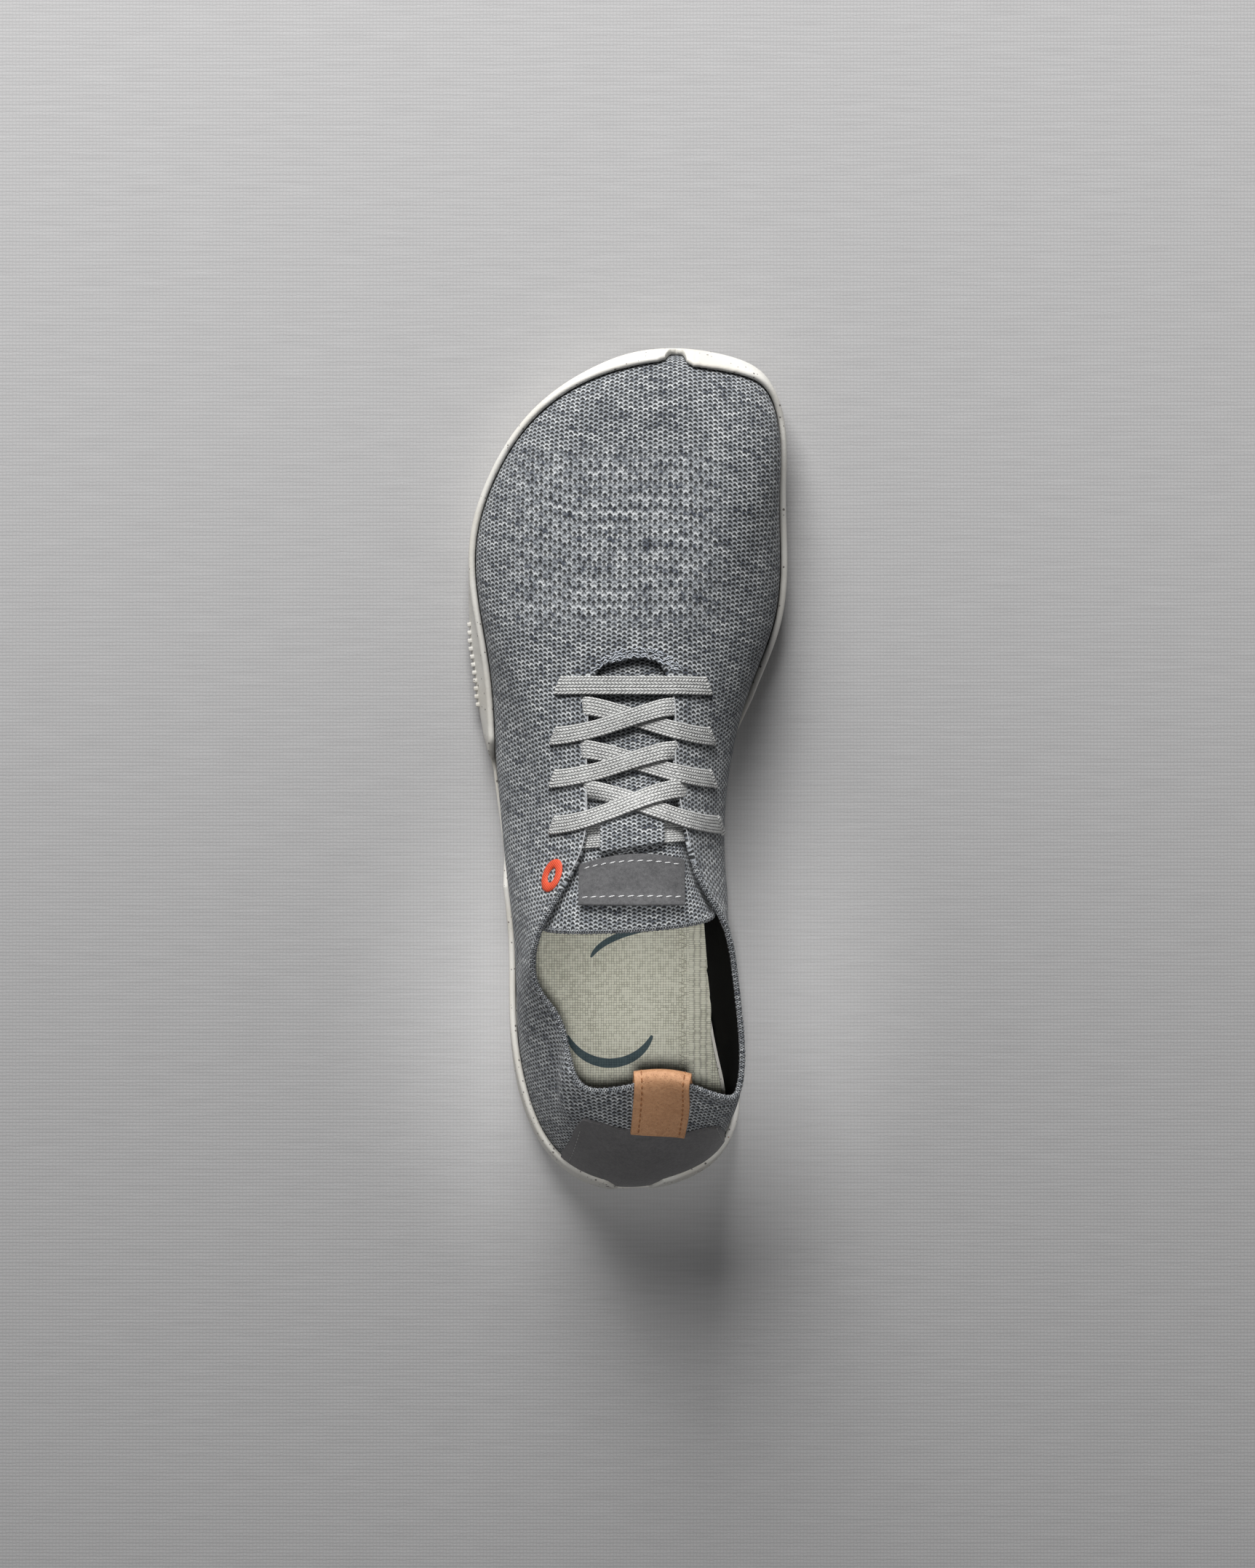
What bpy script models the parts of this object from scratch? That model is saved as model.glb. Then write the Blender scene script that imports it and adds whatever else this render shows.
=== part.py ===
"""Barefoot shoe for the left foot: a knitted upper laced over a tongue, on a thin cupped sole.

Metres, +Z up, +Y towards the toes, +X towards the big toe. The sections are laid out with the
heel's back at y = 0 and the floor at z = 0, and the finished shoe is centred over its origin.
"""

import math
from collections import namedtuple

import bmesh
import bpy
import numpy as np
from mathutils import Matrix, Vector
from mathutils.bvhtree import BVHTree

# Driving sizes of the last and of the shoe
SOLE_LENGTH = 0.276
BALL_WIDTH = 0.104
TOE_HEIGHT = 0.026
INSTEP_HEIGHT = 0.067
HEEL_HEIGHT = 0.0675
UPPER_WALL = 0.0018
SEAT_GAP = 0.0003
WALL_DEPTH_LEAST = 0.014

# Sole
SOLE_THICKNESS = 0.0040
SOLE_EDGE_ROUND = 0.0014
RIM_WALL = 0.0021
RIM_HEIGHT = 0.0085
RIM_LIP = 0.0005
TOE_SPRING = 0.0060
HEEL_LIFT = 0.0012
ARCH_LIFT = 0.0012
GROOVE_WIDTH = 0.0022
GROOVE_DEPTH = 0.0013
GROOVE_WAVE = 0.0030
RIB_COUNT = 11
RIB_WIDTH = 0.0014
RIB_STAND = 0.0007
RIB_HEIGHT = 0.0036

# Insole, tongue and what is sewn on
INSOLE_THICKNESS = 0.0028
INSOLE_GAP = 0.0005
INSOLE_CLEARANCE = 0.0014
TONGUE_WALL = 0.0022
TONGUE_CLEARANCE = 0.0014
KEEPER_WALL = 0.0014
KEEPER_WIDTH = 0.0202
KEEPER_LENGTH = 0.0148
LABEL_WIDTH = 0.0335
LABEL_LENGTH = 0.0145
LABEL_ARCH = 0.0030
LABEL_LOOSE = 0.0012
LABEL_THICKNESS = 0.0011
SEWN_GAP = 0.0005
PATCH_THICKNESS = 0.0010
TAB_THICKNESS = 0.0011
TAB_RISE = 0.0056

# Laces
LACE_WIDTH = 0.0060
LACE_THICKNESS = 0.0012
SLIT_LENGTH = 0.0062
SLIT_WIDTH = 0.0012

# How finely the meshes are cut
COLUMNS = 62
WALL_ROWS = 9
CURVE_STEPS = 48
DERIVATIVE_STEP = 1e-4

# The sole's outer edge, from the toe round by the little toe, the heel and the arch.
# Along is a share of SOLE_LENGTH from the heel, across of BALL_WIDTH from the middle.
EdgePoint = namedtuple("EdgePoint", "along across")
OUTLINE = [
    EdgePoint(1.000, 0.154),
    EdgePoint(0.995, 0.016),
    EdgePoint(0.971, -0.138),
    EdgePoint(0.927, -0.291),
    EdgePoint(0.852, -0.427),
    EdgePoint(0.776, -0.493),
    EdgePoint(0.716, -0.492),
    EdgePoint(0.664, -0.470),
    EdgePoint(0.600, -0.448),
    EdgePoint(0.520, -0.436),
    EdgePoint(0.450, -0.414),
    EdgePoint(0.375, -0.388),
    EdgePoint(0.299, -0.369),
    EdgePoint(0.204, -0.370),
    EdgePoint(0.108, -0.335),
    EdgePoint(0.042, -0.248),
    EdgePoint(0.007, -0.119),
    EdgePoint(0.000, 0.022),
    EdgePoint(0.009, 0.158),
    EdgePoint(0.038, 0.288),
    EdgePoint(0.096, 0.352),
    EdgePoint(0.165, 0.326),
    EdgePoint(0.245, 0.290),
    EdgePoint(0.335, 0.268),
    EdgePoint(0.420, 0.274),
    EdgePoint(0.507, 0.318),
    EdgePoint(0.606, 0.414),
    EdgePoint(0.680, 0.487),
    EdgePoint(0.749, 0.501),
    EdgePoint(0.835, 0.488),
    EdgePoint(0.915, 0.483),
    EdgePoint(0.970, 0.430),
    EdgePoint(0.993, 0.302),
]

# The edge of the throat and collar. Turn is the share of the way round the sole at which
# the section stands, and height a share of the instep's height, or at the heel of the heel's.
Opening = namedtuple("Opening", "turn along across height")
OPENING = [
    Opening(0.000, 0.631, 0.045, 0.700),
    Opening(0.060, 0.626, -0.045, 0.702),
    Opening(0.115, 0.608, -0.106, 0.712),
    Opening(0.160, 0.560, -0.125, 0.772),
    Opening(0.225, 0.468, -0.129, 0.908),
    Opening(0.275, 0.402, -0.152, 0.990),
    Opening(0.305, 0.360, -0.212, 0.990),
    Opening(0.335, 0.325, -0.264, 0.945),
    Opening(0.370, 0.284, -0.293, 0.850),
    Opening(0.400, 0.245, -0.275, 0.785),
    Opening(0.425, 0.212, -0.217, 0.755),
    Opening(0.450, 0.172, -0.188, 0.760),
    Opening(0.474, 0.134, -0.141, 0.790),
    Opening(0.509, 0.135, 0.030, 0.830),
    Opening(0.552, 0.131, 0.215, 0.825),
    Opening(0.578, 0.121, 0.325, 0.790),
    Opening(0.596, 0.141, 0.353, 0.775),
    Opening(0.660, 0.258, 0.339, 0.815),
    Opening(0.700, 0.325, 0.303, 0.920),
    Opening(0.738, 0.382, 0.222, 0.992),
    Opening(0.768, 0.432, 0.184, 0.955),
    Opening(0.805, 0.500, 0.155, 0.858),
    Opening(0.850, 0.572, 0.153, 0.752),
    Opening(0.893, 0.614, 0.124, 0.710),
    Opening(0.945, 0.628, 0.088, 0.702),
]

# How each wall section rises: it leaves the sole leaning inwards by lean degrees, stands for a
# share of TOE_HEIGHT, and comes down from the opening at slope degrees for a share of its chord.
Section = namedtuple("Section", "turn lean stand slope reach")
SECTIONS = [
    Section(0.000, 8, 0.80, 14, 0.60),
    Section(0.025, 8, 0.76, 15, 0.58),
    Section(0.050, -5, 0.72, 16, 0.56),
    Section(0.074, -13, 0.71, 17, 0.54),
    Section(0.100, -15, 0.70, 20, 0.52),
    Section(0.150, -7, 0.72, 26, 0.46),
    Section(0.200, -6, 0.70, 32, 0.42),
    Section(0.250, -2, 0.68, 42, 0.38),
    Section(0.300, -12, 0.72, 56, 0.34),
    Section(0.340, -8, 0.66, 66, 0.34),
    Section(0.380, -1, 0.60, 74, 0.34),
    Section(0.420, 8, 0.60, 66, 0.36),
    Section(0.465, 12, 0.66, 54, 0.36),
    Section(0.487, 14, 0.69, 48, 0.37),
    Section(0.509, 6, 0.72, 42, 0.38),
    Section(0.531, 10, 0.71, 47, 0.37),
    Section(0.550, 10, 0.70, 52, 0.36),
    Section(0.585, -2, 0.66, 84, 0.34),
    Section(0.640, -10, 0.66, 94, 0.34),
    Section(0.690, -26, 0.74, 86, 0.34),
    Section(0.740, -24, 0.80, 70, 0.34),
    Section(0.790, -8, 0.80, 54, 0.36),
    Section(0.840, -5, 0.84, 38, 0.40),
    Section(0.890, -15, 0.94, 24, 0.46),
    Section(0.930, -15, 0.98, 17, 0.52),
    Section(0.970, 9, 0.92, 14, 0.58),
]

# The rim: its height over the sole's top as a share of RIM_HEIGHT, and how far the sole's edge
# stands out past the upper as a share of RIM_WALL
Rim = namedtuple("Rim", "turn height stand")
RIM = [
    Rim(-0.0100, 1.12, 1.00),
    Rim(-0.0060, 0.95, 1.00),
    Rim(-0.0030, 0.22, 0.95),
    Rim(0.0000, 0.00, 0.92),
    Rim(0.0026, 0.18, 0.95),
    Rim(0.0052, 0.76, 1.00),
    Rim(0.0090, 0.88, 1.00),
    Rim(0.0500, 0.84, 1.00),
    Rim(0.1200, 0.74, 1.00),
    Rim(0.1650, 0.76, 1.05),
    Rim(0.1830, 0.80, 1.77),
    Rim(0.2020, 0.84, 2.59),
    Rim(0.2300, 0.84, 2.48),
    Rim(0.2500, 0.80, 1.60),
    Rim(0.2560, 0.52, 1.15),
    Rim(0.2600, 0.08, 0.60),
    Rim(0.2660, 0.00, 0.20),
    Rim(0.3080, 0.00, 0.20),
    Rim(0.3130, 0.10, 0.60),
    Rim(0.3240, 0.56, 1.00),
    Rim(0.3700, 0.66, 1.00),
    Rim(0.4500, 0.70, 1.00),
    Rim(0.4880, 0.92, 1.00),
    Rim(0.4950, 0.98, 1.00),
    Rim(0.4985, 0.60, 0.90),
    Rim(0.5010, 0.05, 0.50),
    Rim(0.5090, 0.00, 0.30),
    Rim(0.5165, 0.05, 0.50),
    Rim(0.5190, 0.50, 0.90),
    Rim(0.5240, 0.94, 1.00),
    Rim(0.5600, 0.76, 1.00),
    Rim(0.6200, 0.62, 1.00),
    Rim(0.6900, 0.50, 1.00),
    Rim(0.7050, 0.08, 0.60),
    Rim(0.7100, 0.00, 0.20),
    Rim(0.7640, 0.00, 0.20),
    Rim(0.7700, 0.10, 0.60),
    Rim(0.7900, 0.60, 1.00),
    Rim(0.8600, 0.74, 1.00),
    Rim(0.9300, 0.80, 1.00),
    Rim(0.9600, 1.08, 1.00),
    Rim(0.9800, 1.12, 1.00),
]

# Where the lace crosses: along at its slits, and at the throat edge that it comes out from under
Crossing = namedtuple("Crossing", "slit_along edge_along")
CROSSINGS = [
    Crossing(0.538, 0.574),
    Crossing(0.489, 0.524),
    Crossing(0.436, 0.480),
]
STRAIGHT_BAR_ALONG = 0.596
SLIT_SETBACK = 0.0100
MEDIAL_SLIT_SETBACK = 0.0112
THROAT_FRONT = 0.085
LATERAL_THROAT_BACK = 0.345
MEDIAL_THROAT_BACK = 0.690
MEDIAL_THROAT_FRONT = 0.915
LACE_CLEARANCE = 0.0006
THROAT_CLEARANCE = 0.0014
LACE_SINK = 0.0007
LACE_STEPS = 8

# Pieces set on the tongue: how far along their middles stand, and across
KEEPER_ALONG = 0.4350
KEEPER_SLANT = 0.15
KEEPER_ROWS = (-0.50, -0.45, -0.15, 0.22, 0.40, 0.50)
LABEL_ALONG = 0.3735
LABEL_ACROSS = 0.014
KEEPER_ACROSS = 0.016
TAIL_WIDTH = 0.0152 * SOLE_LENGTH
Tail = namedtuple("Tail", "lateral medial")
TAILS = [
    Tail(0.4313, 0.4429),
    Tail(0.4150, 0.4266),
]

# The heel patch: its top edge as a share of each wall section
PatchEdge = namedtuple("PatchEdge", "turn share")
PATCH_TOP = [
    PatchEdge(0.4670, 0.240),
    PatchEdge(0.4700, 0.360),
    PatchEdge(0.4730, 0.490),
    PatchEdge(0.4755, 0.640),
    PatchEdge(0.4800, 0.765),
    PatchEdge(0.4910, 0.757),
    PatchEdge(0.5000, 0.717),
    PatchEdge(0.5120, 0.690),
    PatchEdge(0.5240, 0.645),
    PatchEdge(0.5390, 0.595),
    PatchEdge(0.5510, 0.605),
    PatchEdge(0.5575, 0.600),
    PatchEdge(0.5605, 0.560),
    PatchEdge(0.5635, 0.440),
]

# The tongue's rows: where each one's ends stand along the throat's two edges
TongueRow = namedtuple("TongueRow", "lateral medial")
TONGUE_ROWS = [
    TongueRow(0.596, 0.596),
    TongueRow(0.570, 0.570),
    TongueRow(0.540, 0.540),
    TongueRow(0.500, 0.500),
    TongueRow(0.460, 0.460),
    TongueRow(0.425, 0.425),
    TongueRow(0.390, 0.394),
    TongueRow(0.358, 0.368),
    TongueRow(0.335, 0.350),
    TongueRow(0.321, 0.340),
]

# The tongue's front under the vamp: how far ahead of the first row its ends and its middle
# stand, as shares of SOLE_LENGTH, how far it drops besides, and the slope at which it goes down
Tuck = namedtuple("Tuck", "ends middle drop")
TONGUE_TUCK = [Tuck(0.029, 0.099, 0.0), Tuck(0.018, 0.048, 0.0004)]
TUCK_SLOPE = 0.27

# The pull tab: the turns of its two long edges at its foot and at the collar, the shares of the
# wall at which its foot's corners stand, and the share its inner leg reaches down to
TAB_FOOT = (0.5060, 0.5370)
TAB_HEAD = (0.5070, 0.5470)
TAB_FOOT_SHARES = (0.715, 0.605)
TAB_INNER_SHARE = 0.860

LACE_GREY = (0.52, 0.52, 0.50)
KNIT_GREY = (0.30, 0.33, 0.36)
SOLE_CREAM = (0.83, 0.80, 0.73)
INSOLE_SAGE = (0.58, 0.57, 0.47)
SUEDE_GREY = (0.13, 0.13, 0.135)
TAB_TAN = (0.52, 0.30, 0.16)


def closed_spline(turns, values):
    """A function giving the smooth closed curve that passes through the values at those turns."""
    turns = np.asarray(turns, float)
    values = np.asarray(values, float).reshape(len(turns), -1)
    count = len(turns)
    step = np.diff(np.append(turns, turns[0] + 1.0))
    rise = (np.roll(values, -1, axis=0) - values) / step[:, None]
    system = np.zeros((count, count))
    for i in range(count):
        system[i, i - 1] = step[i - 1]
        system[i, i] = 2 * (step[i - 1] + step[i])
        system[i, (i + 1) % count] = step[i]
    bend = np.linalg.solve(system, 6 * (rise - np.roll(rise, 1, axis=0)))

    def curve(at):
        at = np.mod(np.asarray(at, float) - turns[0], 1.0) + turns[0]
        i = np.clip(np.searchsorted(turns, at, side="right") - 1, 0, count - 1)
        j = (i + 1) % count
        h = step[i][:, None]
        b = ((at - turns[i]) / step[i])[:, None]
        a = 1 - b
        cubic = (a**3 - a) * bend[i] + (b**3 - b) * bend[j]
        return a * values[i] + b * values[j] + cubic * h**2 / 6

    return curve


def outline_turns():
    """The share of the way round at which each point of the outline stands."""
    points = np.array([(p.across * BALL_WIDTH, p.along * SOLE_LENGTH) for p in OUTLINE])
    lengths = np.linalg.norm(np.roll(points, -1, axis=0) - points, axis=1)
    return np.concatenate([[0.0], np.cumsum(lengths)[:-1]]) / lengths.sum()


outline_shares = closed_spline(outline_turns(), [(p.across, p.along) for p in OUTLINE])
opening_shares = closed_spline(
    [p.turn for p in OPENING], [(p.across, p.along, p.height) for p in OPENING]
)
section_values = closed_spline(
    [s.turn for s in SECTIONS], [(s.lean, s.stand, s.slope, s.reach) for s in SECTIONS]
)


def smooth_step(low, high, value):
    """0 below low, 1 above high and a smooth climb between them."""
    t = np.clip((np.asarray(value, float) - low) / (high - low), 0.0, 1.0)
    return t * t * (3 - 2 * t)


def outline(turns):
    """Points of the sole's outer edge, seen from above, and the directions that point away."""
    turns = np.asarray(turns, float)
    size = np.array([BALL_WIDTH, SOLE_LENGTH])
    points = outline_shares(turns) * size
    ahead = outline_shares(turns + DERIVATIVE_STEP) * size
    behind = outline_shares(turns - DERIVATIVE_STEP) * size
    tangent = ahead - behind
    tangent /= np.linalg.norm(tangent, axis=1)[:, None]
    away = np.stack([tangent[:, 1], -tangent[:, 0]], axis=1)
    return points, away


def ground(along):
    """Height of the sole's underside over the floor: toe spring, heel lift and a low arch."""
    share = np.asarray(along, float) / SOLE_LENGTH
    toe = np.clip((share - 0.76) / 0.24, 0.0, None) ** 2 * TOE_SPRING
    heel = np.clip((0.08 - share) / 0.08, 0.0, None) ** 2 * HEEL_LIFT
    arch = smooth_step(0.26, 0.40, share) * smooth_step(0.60, 0.48, share) * ARCH_LIFT
    return toe + heel + arch


def feather(turns):
    """The line on the sole's top where the upper's outer face meets it."""
    points, away = outline(turns)
    inner = points - away * (RIM_WALL + SEAT_GAP)
    height = ground(inner[:, 1]) + SOLE_THICKNESS + SEAT_GAP
    return np.column_stack([inner, height]), away


def opening(turns):
    """The edge of the throat and collar."""
    across, along, height = opening_shares(turns).T
    front = smooth_step(0.16, 0.34, along)
    reference = INSTEP_HEIGHT * front + HEEL_HEIGHT * (1 - front)
    return np.column_stack([across * BALL_WIDTH, along * SOLE_LENGTH, height * reference])


def wall_curves(turns):
    """Each wall section as points evenly spaced from the sole to the opening."""
    foot, away = feather(turns)
    top = opening(turns)
    lean, stand, slope, reach = section_values(turns).T
    lean, slope = np.radians(lean), np.radians(slope)
    chord = np.linalg.norm(top - foot, axis=1)
    outwards = (foot - top)[:, :2] + away * WALL_DEPTH_LEAST
    outwards /= np.linalg.norm(outwards, axis=1)[:, None]
    rising = np.column_stack([-away * np.sin(lean)[:, None], np.cos(lean)])
    falling = np.column_stack([outwards * np.cos(slope)[:, None], -np.sin(slope)])
    low = foot + rising * (stand * TOE_HEIGHT)[:, None]
    high = top + falling * (reach * chord)[:, None]
    t = np.linspace(0, 1, CURVE_STEPS)[:, None, None]
    curve = (
        (1 - t) ** 3 * foot
        + 3 * (1 - t) ** 2 * t * low
        + 3 * (1 - t) * t**2 * high
        + t**3 * top
    )
    return np.swapaxes(curve, 0, 1)


def spread(curve, shares):
    """Points at shares of a curve's length."""
    lengths = np.linalg.norm(np.diff(curve, axis=0), axis=1)
    run = np.concatenate([[0.0], np.cumsum(lengths)])
    at = np.asarray(shares, float) * run[-1]
    return np.column_stack([np.interp(at, run, curve[:, k]) for k in range(3)])


def wall(turns, shares, out=0.0):
    """Points of the upper's outer face, at turns round the sole and shares up each section,
    moved out along the face's normal. Shares may be one list, or one list for each turn."""
    turns = np.atleast_1d(np.asarray(turns, float))
    shares = np.broadcast_to(np.asarray(shares, float), (len(turns), np.shape(shares)[-1]))

    def face(by_turn, by_share):
        at = np.clip(shares + by_share, 0.0, 1.0)
        curves = wall_curves(turns + by_turn)
        return np.array([spread(c, s) for c, s in zip(curves, at)])

    round_step, up_step = 1.5e-3, 4e-3
    across = face(round_step, 0.0) - face(-round_step, 0.0)
    upward = face(0.0, up_step) - face(0.0, -up_step)
    normal = np.cross(across, upward)
    normal /= np.linalg.norm(normal, axis=2)[:, :, None]
    return face(0.0, 0.0) + normal * out


def share_at_height(turns, above_sole):
    """The share of each section at which it has climbed that far above the sole's top."""
    found = []
    for curve, climb in zip(wall_curves(turns), np.broadcast_to(above_sole, np.shape(turns))):
        lengths = np.linalg.norm(np.diff(curve, axis=0), axis=1)
        run = np.concatenate([[0.0], np.cumsum(lengths)])
        height = curve[:, 2] - curve[0, 2]
        found.append(np.interp(climb, height, run) / run[-1])
    return np.array(found)


def rim_values(turns):
    """Height of the rim over the sole's top, and how far the sole's edge stands out."""
    at = np.mod(np.asarray(turns, float) - RIM[0].turn, 1.0) + RIM[0].turn
    table = np.array(RIM + [Rim(RIM[0].turn + 1.0, RIM[0].height, RIM[0].stand)])
    height = RIM_LIP + RIM_HEIGHT * np.interp(at, table[:, 0], table[:, 1])
    return height, RIM_WALL * np.interp(at, table[:, 0], table[:, 2])


def column_turns():
    """Turns of the mesh's columns: evenly spread, and closer where the rim starts and ends."""
    even = list(np.arange(COLUMNS) / COLUMNS)
    steep = [r.turn % 1.0 for r in RIM]
    kept = [t for t in even if min(abs(t - s) for s in steep + [1.0]) > 0.0035]
    return np.array(sorted(kept + steep))


def turn_at_along(along, low, high):
    """The turn between low and high at which the opening's edge stands that far along."""
    rising = opening([high])[0][1] > opening([low])[0][1]
    for _ in range(40):
        middle = (low + high) / 2
        above = opening([middle])[0][1] > along
        if above == rising:
            high = middle
        else:
            low = middle
    return (low + high) / 2


def material(name, colour, roughness):
    """A plain Principled material."""
    made = bpy.data.materials.new(name)
    made.use_nodes = True
    shader = made.node_tree.nodes["Principled BSDF"]
    shader.inputs["Base Color"].default_value = (*colour, 1.0)
    shader.inputs["Roughness"].default_value = roughness
    return made


def add_object(name, points, faces, finish, smooth=True):
    """An object from points and faces, its faces pointing out."""
    mesh = bpy.data.meshes.new(name)
    mesh.from_pydata([tuple(p) for p in points], [], faces)
    work = bmesh.new()
    work.from_mesh(mesh)
    bmesh.ops.recalc_face_normals(work, faces=work.faces)
    work.to_mesh(mesh)
    work.free()
    if smooth:
        mesh.shade_smooth()
        mesh.set_sharp_from_angle(angle=math.radians(40))
    made = bpy.data.objects.new(name, mesh)
    bpy.context.collection.objects.link(made)
    if finish is not None:
        mesh.materials.append(finish)
    return made


def ring_faces(rings, columns, close_up):
    """Quads between rings of columns points each, and back to the first ring if close_up."""
    faces = []
    for r in range(rings if close_up else rings - 1):
        near, far = r * columns, ((r + 1) % rings) * columns
        for c in range(columns):
            d = (c + 1) % columns
            faces.append((near + c, near + d, far + d, far + c))
    return faces


def add_ring_solid(name, rings, finish, fans=None):
    """A solid from rings bridged in turn: closed on itself, or by a fan at each end."""
    columns = len(rings[0])
    points = np.concatenate(rings)
    faces = ring_faces(len(rings), columns, fans is None)
    if fans is not None:
        points = np.concatenate([points, fans])
        last = (len(rings) - 1) * columns
        for c in range(columns):
            d = (c + 1) % columns
            faces.append((c, d, len(points) - 2))
            faces.append((last + c, last + d, len(points) - 1))
    return add_object(name, points, faces, finish)


def add_sheet_solid(name, upper_face, lower_face, finish):
    """A solid from two grids of points that face each other."""
    rows, columns = upper_face.shape[:2]
    points = np.concatenate([upper_face.reshape(-1, 3), lower_face.reshape(-1, 3)])
    under = rows * columns
    faces = []
    for r in range(rows - 1):
        for c in range(columns - 1):
            a = r * columns + c
            quad = (a, a + 1, a + columns + 1, a + columns)
            faces.append(quad)
            faces.append(tuple(under + i for i in reversed(quad)))
    border = [c for c in range(columns)]
    border += [r * columns + columns - 1 for r in range(1, rows)]
    border += [(rows - 1) * columns + c for c in range(columns - 2, -1, -1)]
    border += [r * columns for r in range(rows - 2, 0, -1)]
    for i, a in enumerate(border):
        b = border[(i + 1) % len(border)]
        faces.append((b, a, under + a, under + b))
    return add_object(name, points, faces, finish)


def apply_boolean(target, cutter, operation):
    """Cuts or joins with an exact Boolean, applied, and removes the cutter."""
    change = target.modifiers.new(operation, "BOOLEAN")
    change.operation = operation
    change.solver = "EXACT"
    change.object = cutter
    bpy.context.view_layer.update()
    graph = bpy.context.evaluated_depsgraph_get()
    result = bpy.data.meshes.new_from_object(target.evaluated_get(graph))
    target.modifiers.remove(change)
    target.data = result
    bpy.data.objects.remove(cutter)


def add_box(name, centre, size, axes):
    """A box with the given full sizes along three axes."""
    half = np.array(size) / 2
    corners = [(i, j, k) for i in (-1, 1) for j in (-1, 1) for k in (-1, 1)]
    points = [centre + sum(axes[n] * half[n] * c[n] for n in range(3)) for c in corners]
    faces = [(0, 1, 3, 2), (4, 6, 7, 5), (0, 4, 5, 1), (2, 3, 7, 6), (0, 2, 6, 4), (1, 5, 7, 3)]
    return add_object(name, points, faces, None, smooth=False)


def join_objects(name, objects):
    """One object made of several, each still a closed body of its own."""
    work = bmesh.new()
    for item in objects:
        work.from_mesh(item.data)
    mesh = bpy.data.meshes.new(name)
    work.to_mesh(mesh)
    work.free()
    for item in objects:
        bpy.data.objects.remove(item)
    made = bpy.data.objects.new(name, mesh)
    bpy.context.collection.objects.link(made)
    return made


def floor_rings(border, shares, lift):
    """Rings shrinking from a border towards the middle of the sole, at a height over the ground."""
    middle = np.array([-0.03 * BALL_WIDTH, 0.50 * SOLE_LENGTH])
    rings = []
    for share in shares:
        flat = middle + (border - middle) * share
        rings.append(np.column_stack([flat, ground(flat[:, 1]) + lift]))
    centre = np.array([middle[0], middle[1], float(ground(middle[1])) + lift])
    return rings, centre


TREAD_SHARES = (0.42, 0.72, 0.88)
BED_SHARES = (0.84, 0.45)


def build_outsole(turns, finish):
    """The cupped sole: tread side, rounded edge, rim round the upper, and the bed inside it."""
    line, away = feather(turns)
    height, stand = rim_values(turns)
    edge = line[:, :2] + away * (SEAT_GAP + stand)[:, None]
    under = edge - away * SOLE_EDGE_ROUND * 1.6
    bottom_rings, bottom_centre = floor_rings(under, TREAD_SHARES, 0.0)
    turned = edge - away * SOLE_EDGE_ROUND * 0.35
    edge_rings = [
        np.column_stack([under, ground(under[:, 1])]),
        np.column_stack([turned, ground(turned[:, 1]) + SOLE_EDGE_ROUND * 0.5]),
        np.column_stack([edge, ground(edge[:, 1]) + SOLE_EDGE_ROUND * 1.5]),
    ]
    crest = share_at_height(turns, height)
    halfway = share_at_height(turns, height * 0.45)
    shoulder = share_at_height(turns, height * 0.90)
    shares = np.column_stack([np.zeros_like(crest), halfway, shoulder, crest])
    outer = wall(turns, shares, SEAT_GAP + RIM_WALL)
    middle = wall(turns, shares, SEAT_GAP + RIM_WALL * 0.5)
    inner = wall(turns, shares, SEAT_GAP)
    outside = stand > RIM_WALL
    belly = outer[:, 1].copy()
    belly[:, :2] += away * np.where(outside, (stand - RIM_WALL) * 0.55, 0.0)[:, None]
    drawn_in = np.clip(1 - stand / RIM_WALL, 0.0, 1.0)[:, None]
    belly = belly * (1 - drawn_in) + (inner[:, 1] * 0.7 + edge_rings[2] * 0.3) * drawn_in
    top = outer[:, 2] * (1 - drawn_in) + middle[:, 2] * drawn_in
    rim_rings = [belly, top, middle[:, 3], inner[:, 2], inner[:, 1]]
    seat = inner[:, 0].copy()
    seat[:, 2] = ground(seat[:, 1]) + SOLE_THICKNESS
    top_rings, top_centre = floor_rings(seat[:, :2], BED_SHARES, SOLE_THICKNESS)
    rings = bottom_rings + edge_rings + rim_rings + [seat] + top_rings
    return add_ring_solid("outsole", rings, finish, [bottom_centre, top_centre])


def groove_cutter(along, reach_lateral, reach_medial):
    """A wavy bar across the tread, deep enough to leave one flex groove."""
    steps = 9
    across = np.linspace(-reach_lateral, reach_medial, steps) * BALL_WIDTH
    wave = np.cos(np.linspace(-1.5 * math.pi, 1.5 * math.pi, steps)) * GROOVE_WAVE
    centre = along * SOLE_LENGTH + wave
    height = ground(centre)
    rows = []
    for side in (-0.5, 0.5):
        rows.append(np.column_stack([across, centre + side * GROOVE_WIDTH, height]))
    top = np.array(rows)
    bottom = top.copy()
    top[:, :, 2] += GROOVE_DEPTH
    bottom[:, :, 2] -= 0.004
    return add_sheet_solid("groove", top, bottom, None)


GrooveRow = namedtuple("GrooveRow", "along lateral medial")
GROOVES = [
    GrooveRow(0.100, 0.26, 0.28),
    GrooveRow(0.165, 0.30, 0.27),
    GrooveRow(0.230, 0.31, 0.24),
    GrooveRow(0.600, 0.42, 0.34),
    GrooveRow(0.665, 0.44, 0.40),
    GrooveRow(0.730, 0.44, 0.43),
    GrooveRow(0.795, 0.41, 0.43),
    GrooveRow(0.860, 0.35, 0.42),
]


def cut_tread(sole):
    """Flex grooves across the heel and the forefoot."""
    cutters = [groove_cutter(g.along, g.lateral, g.medial) for g in GROOVES]
    apply_boolean(sole, join_objects("grooves", cutters), "DIFFERENCE")


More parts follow.
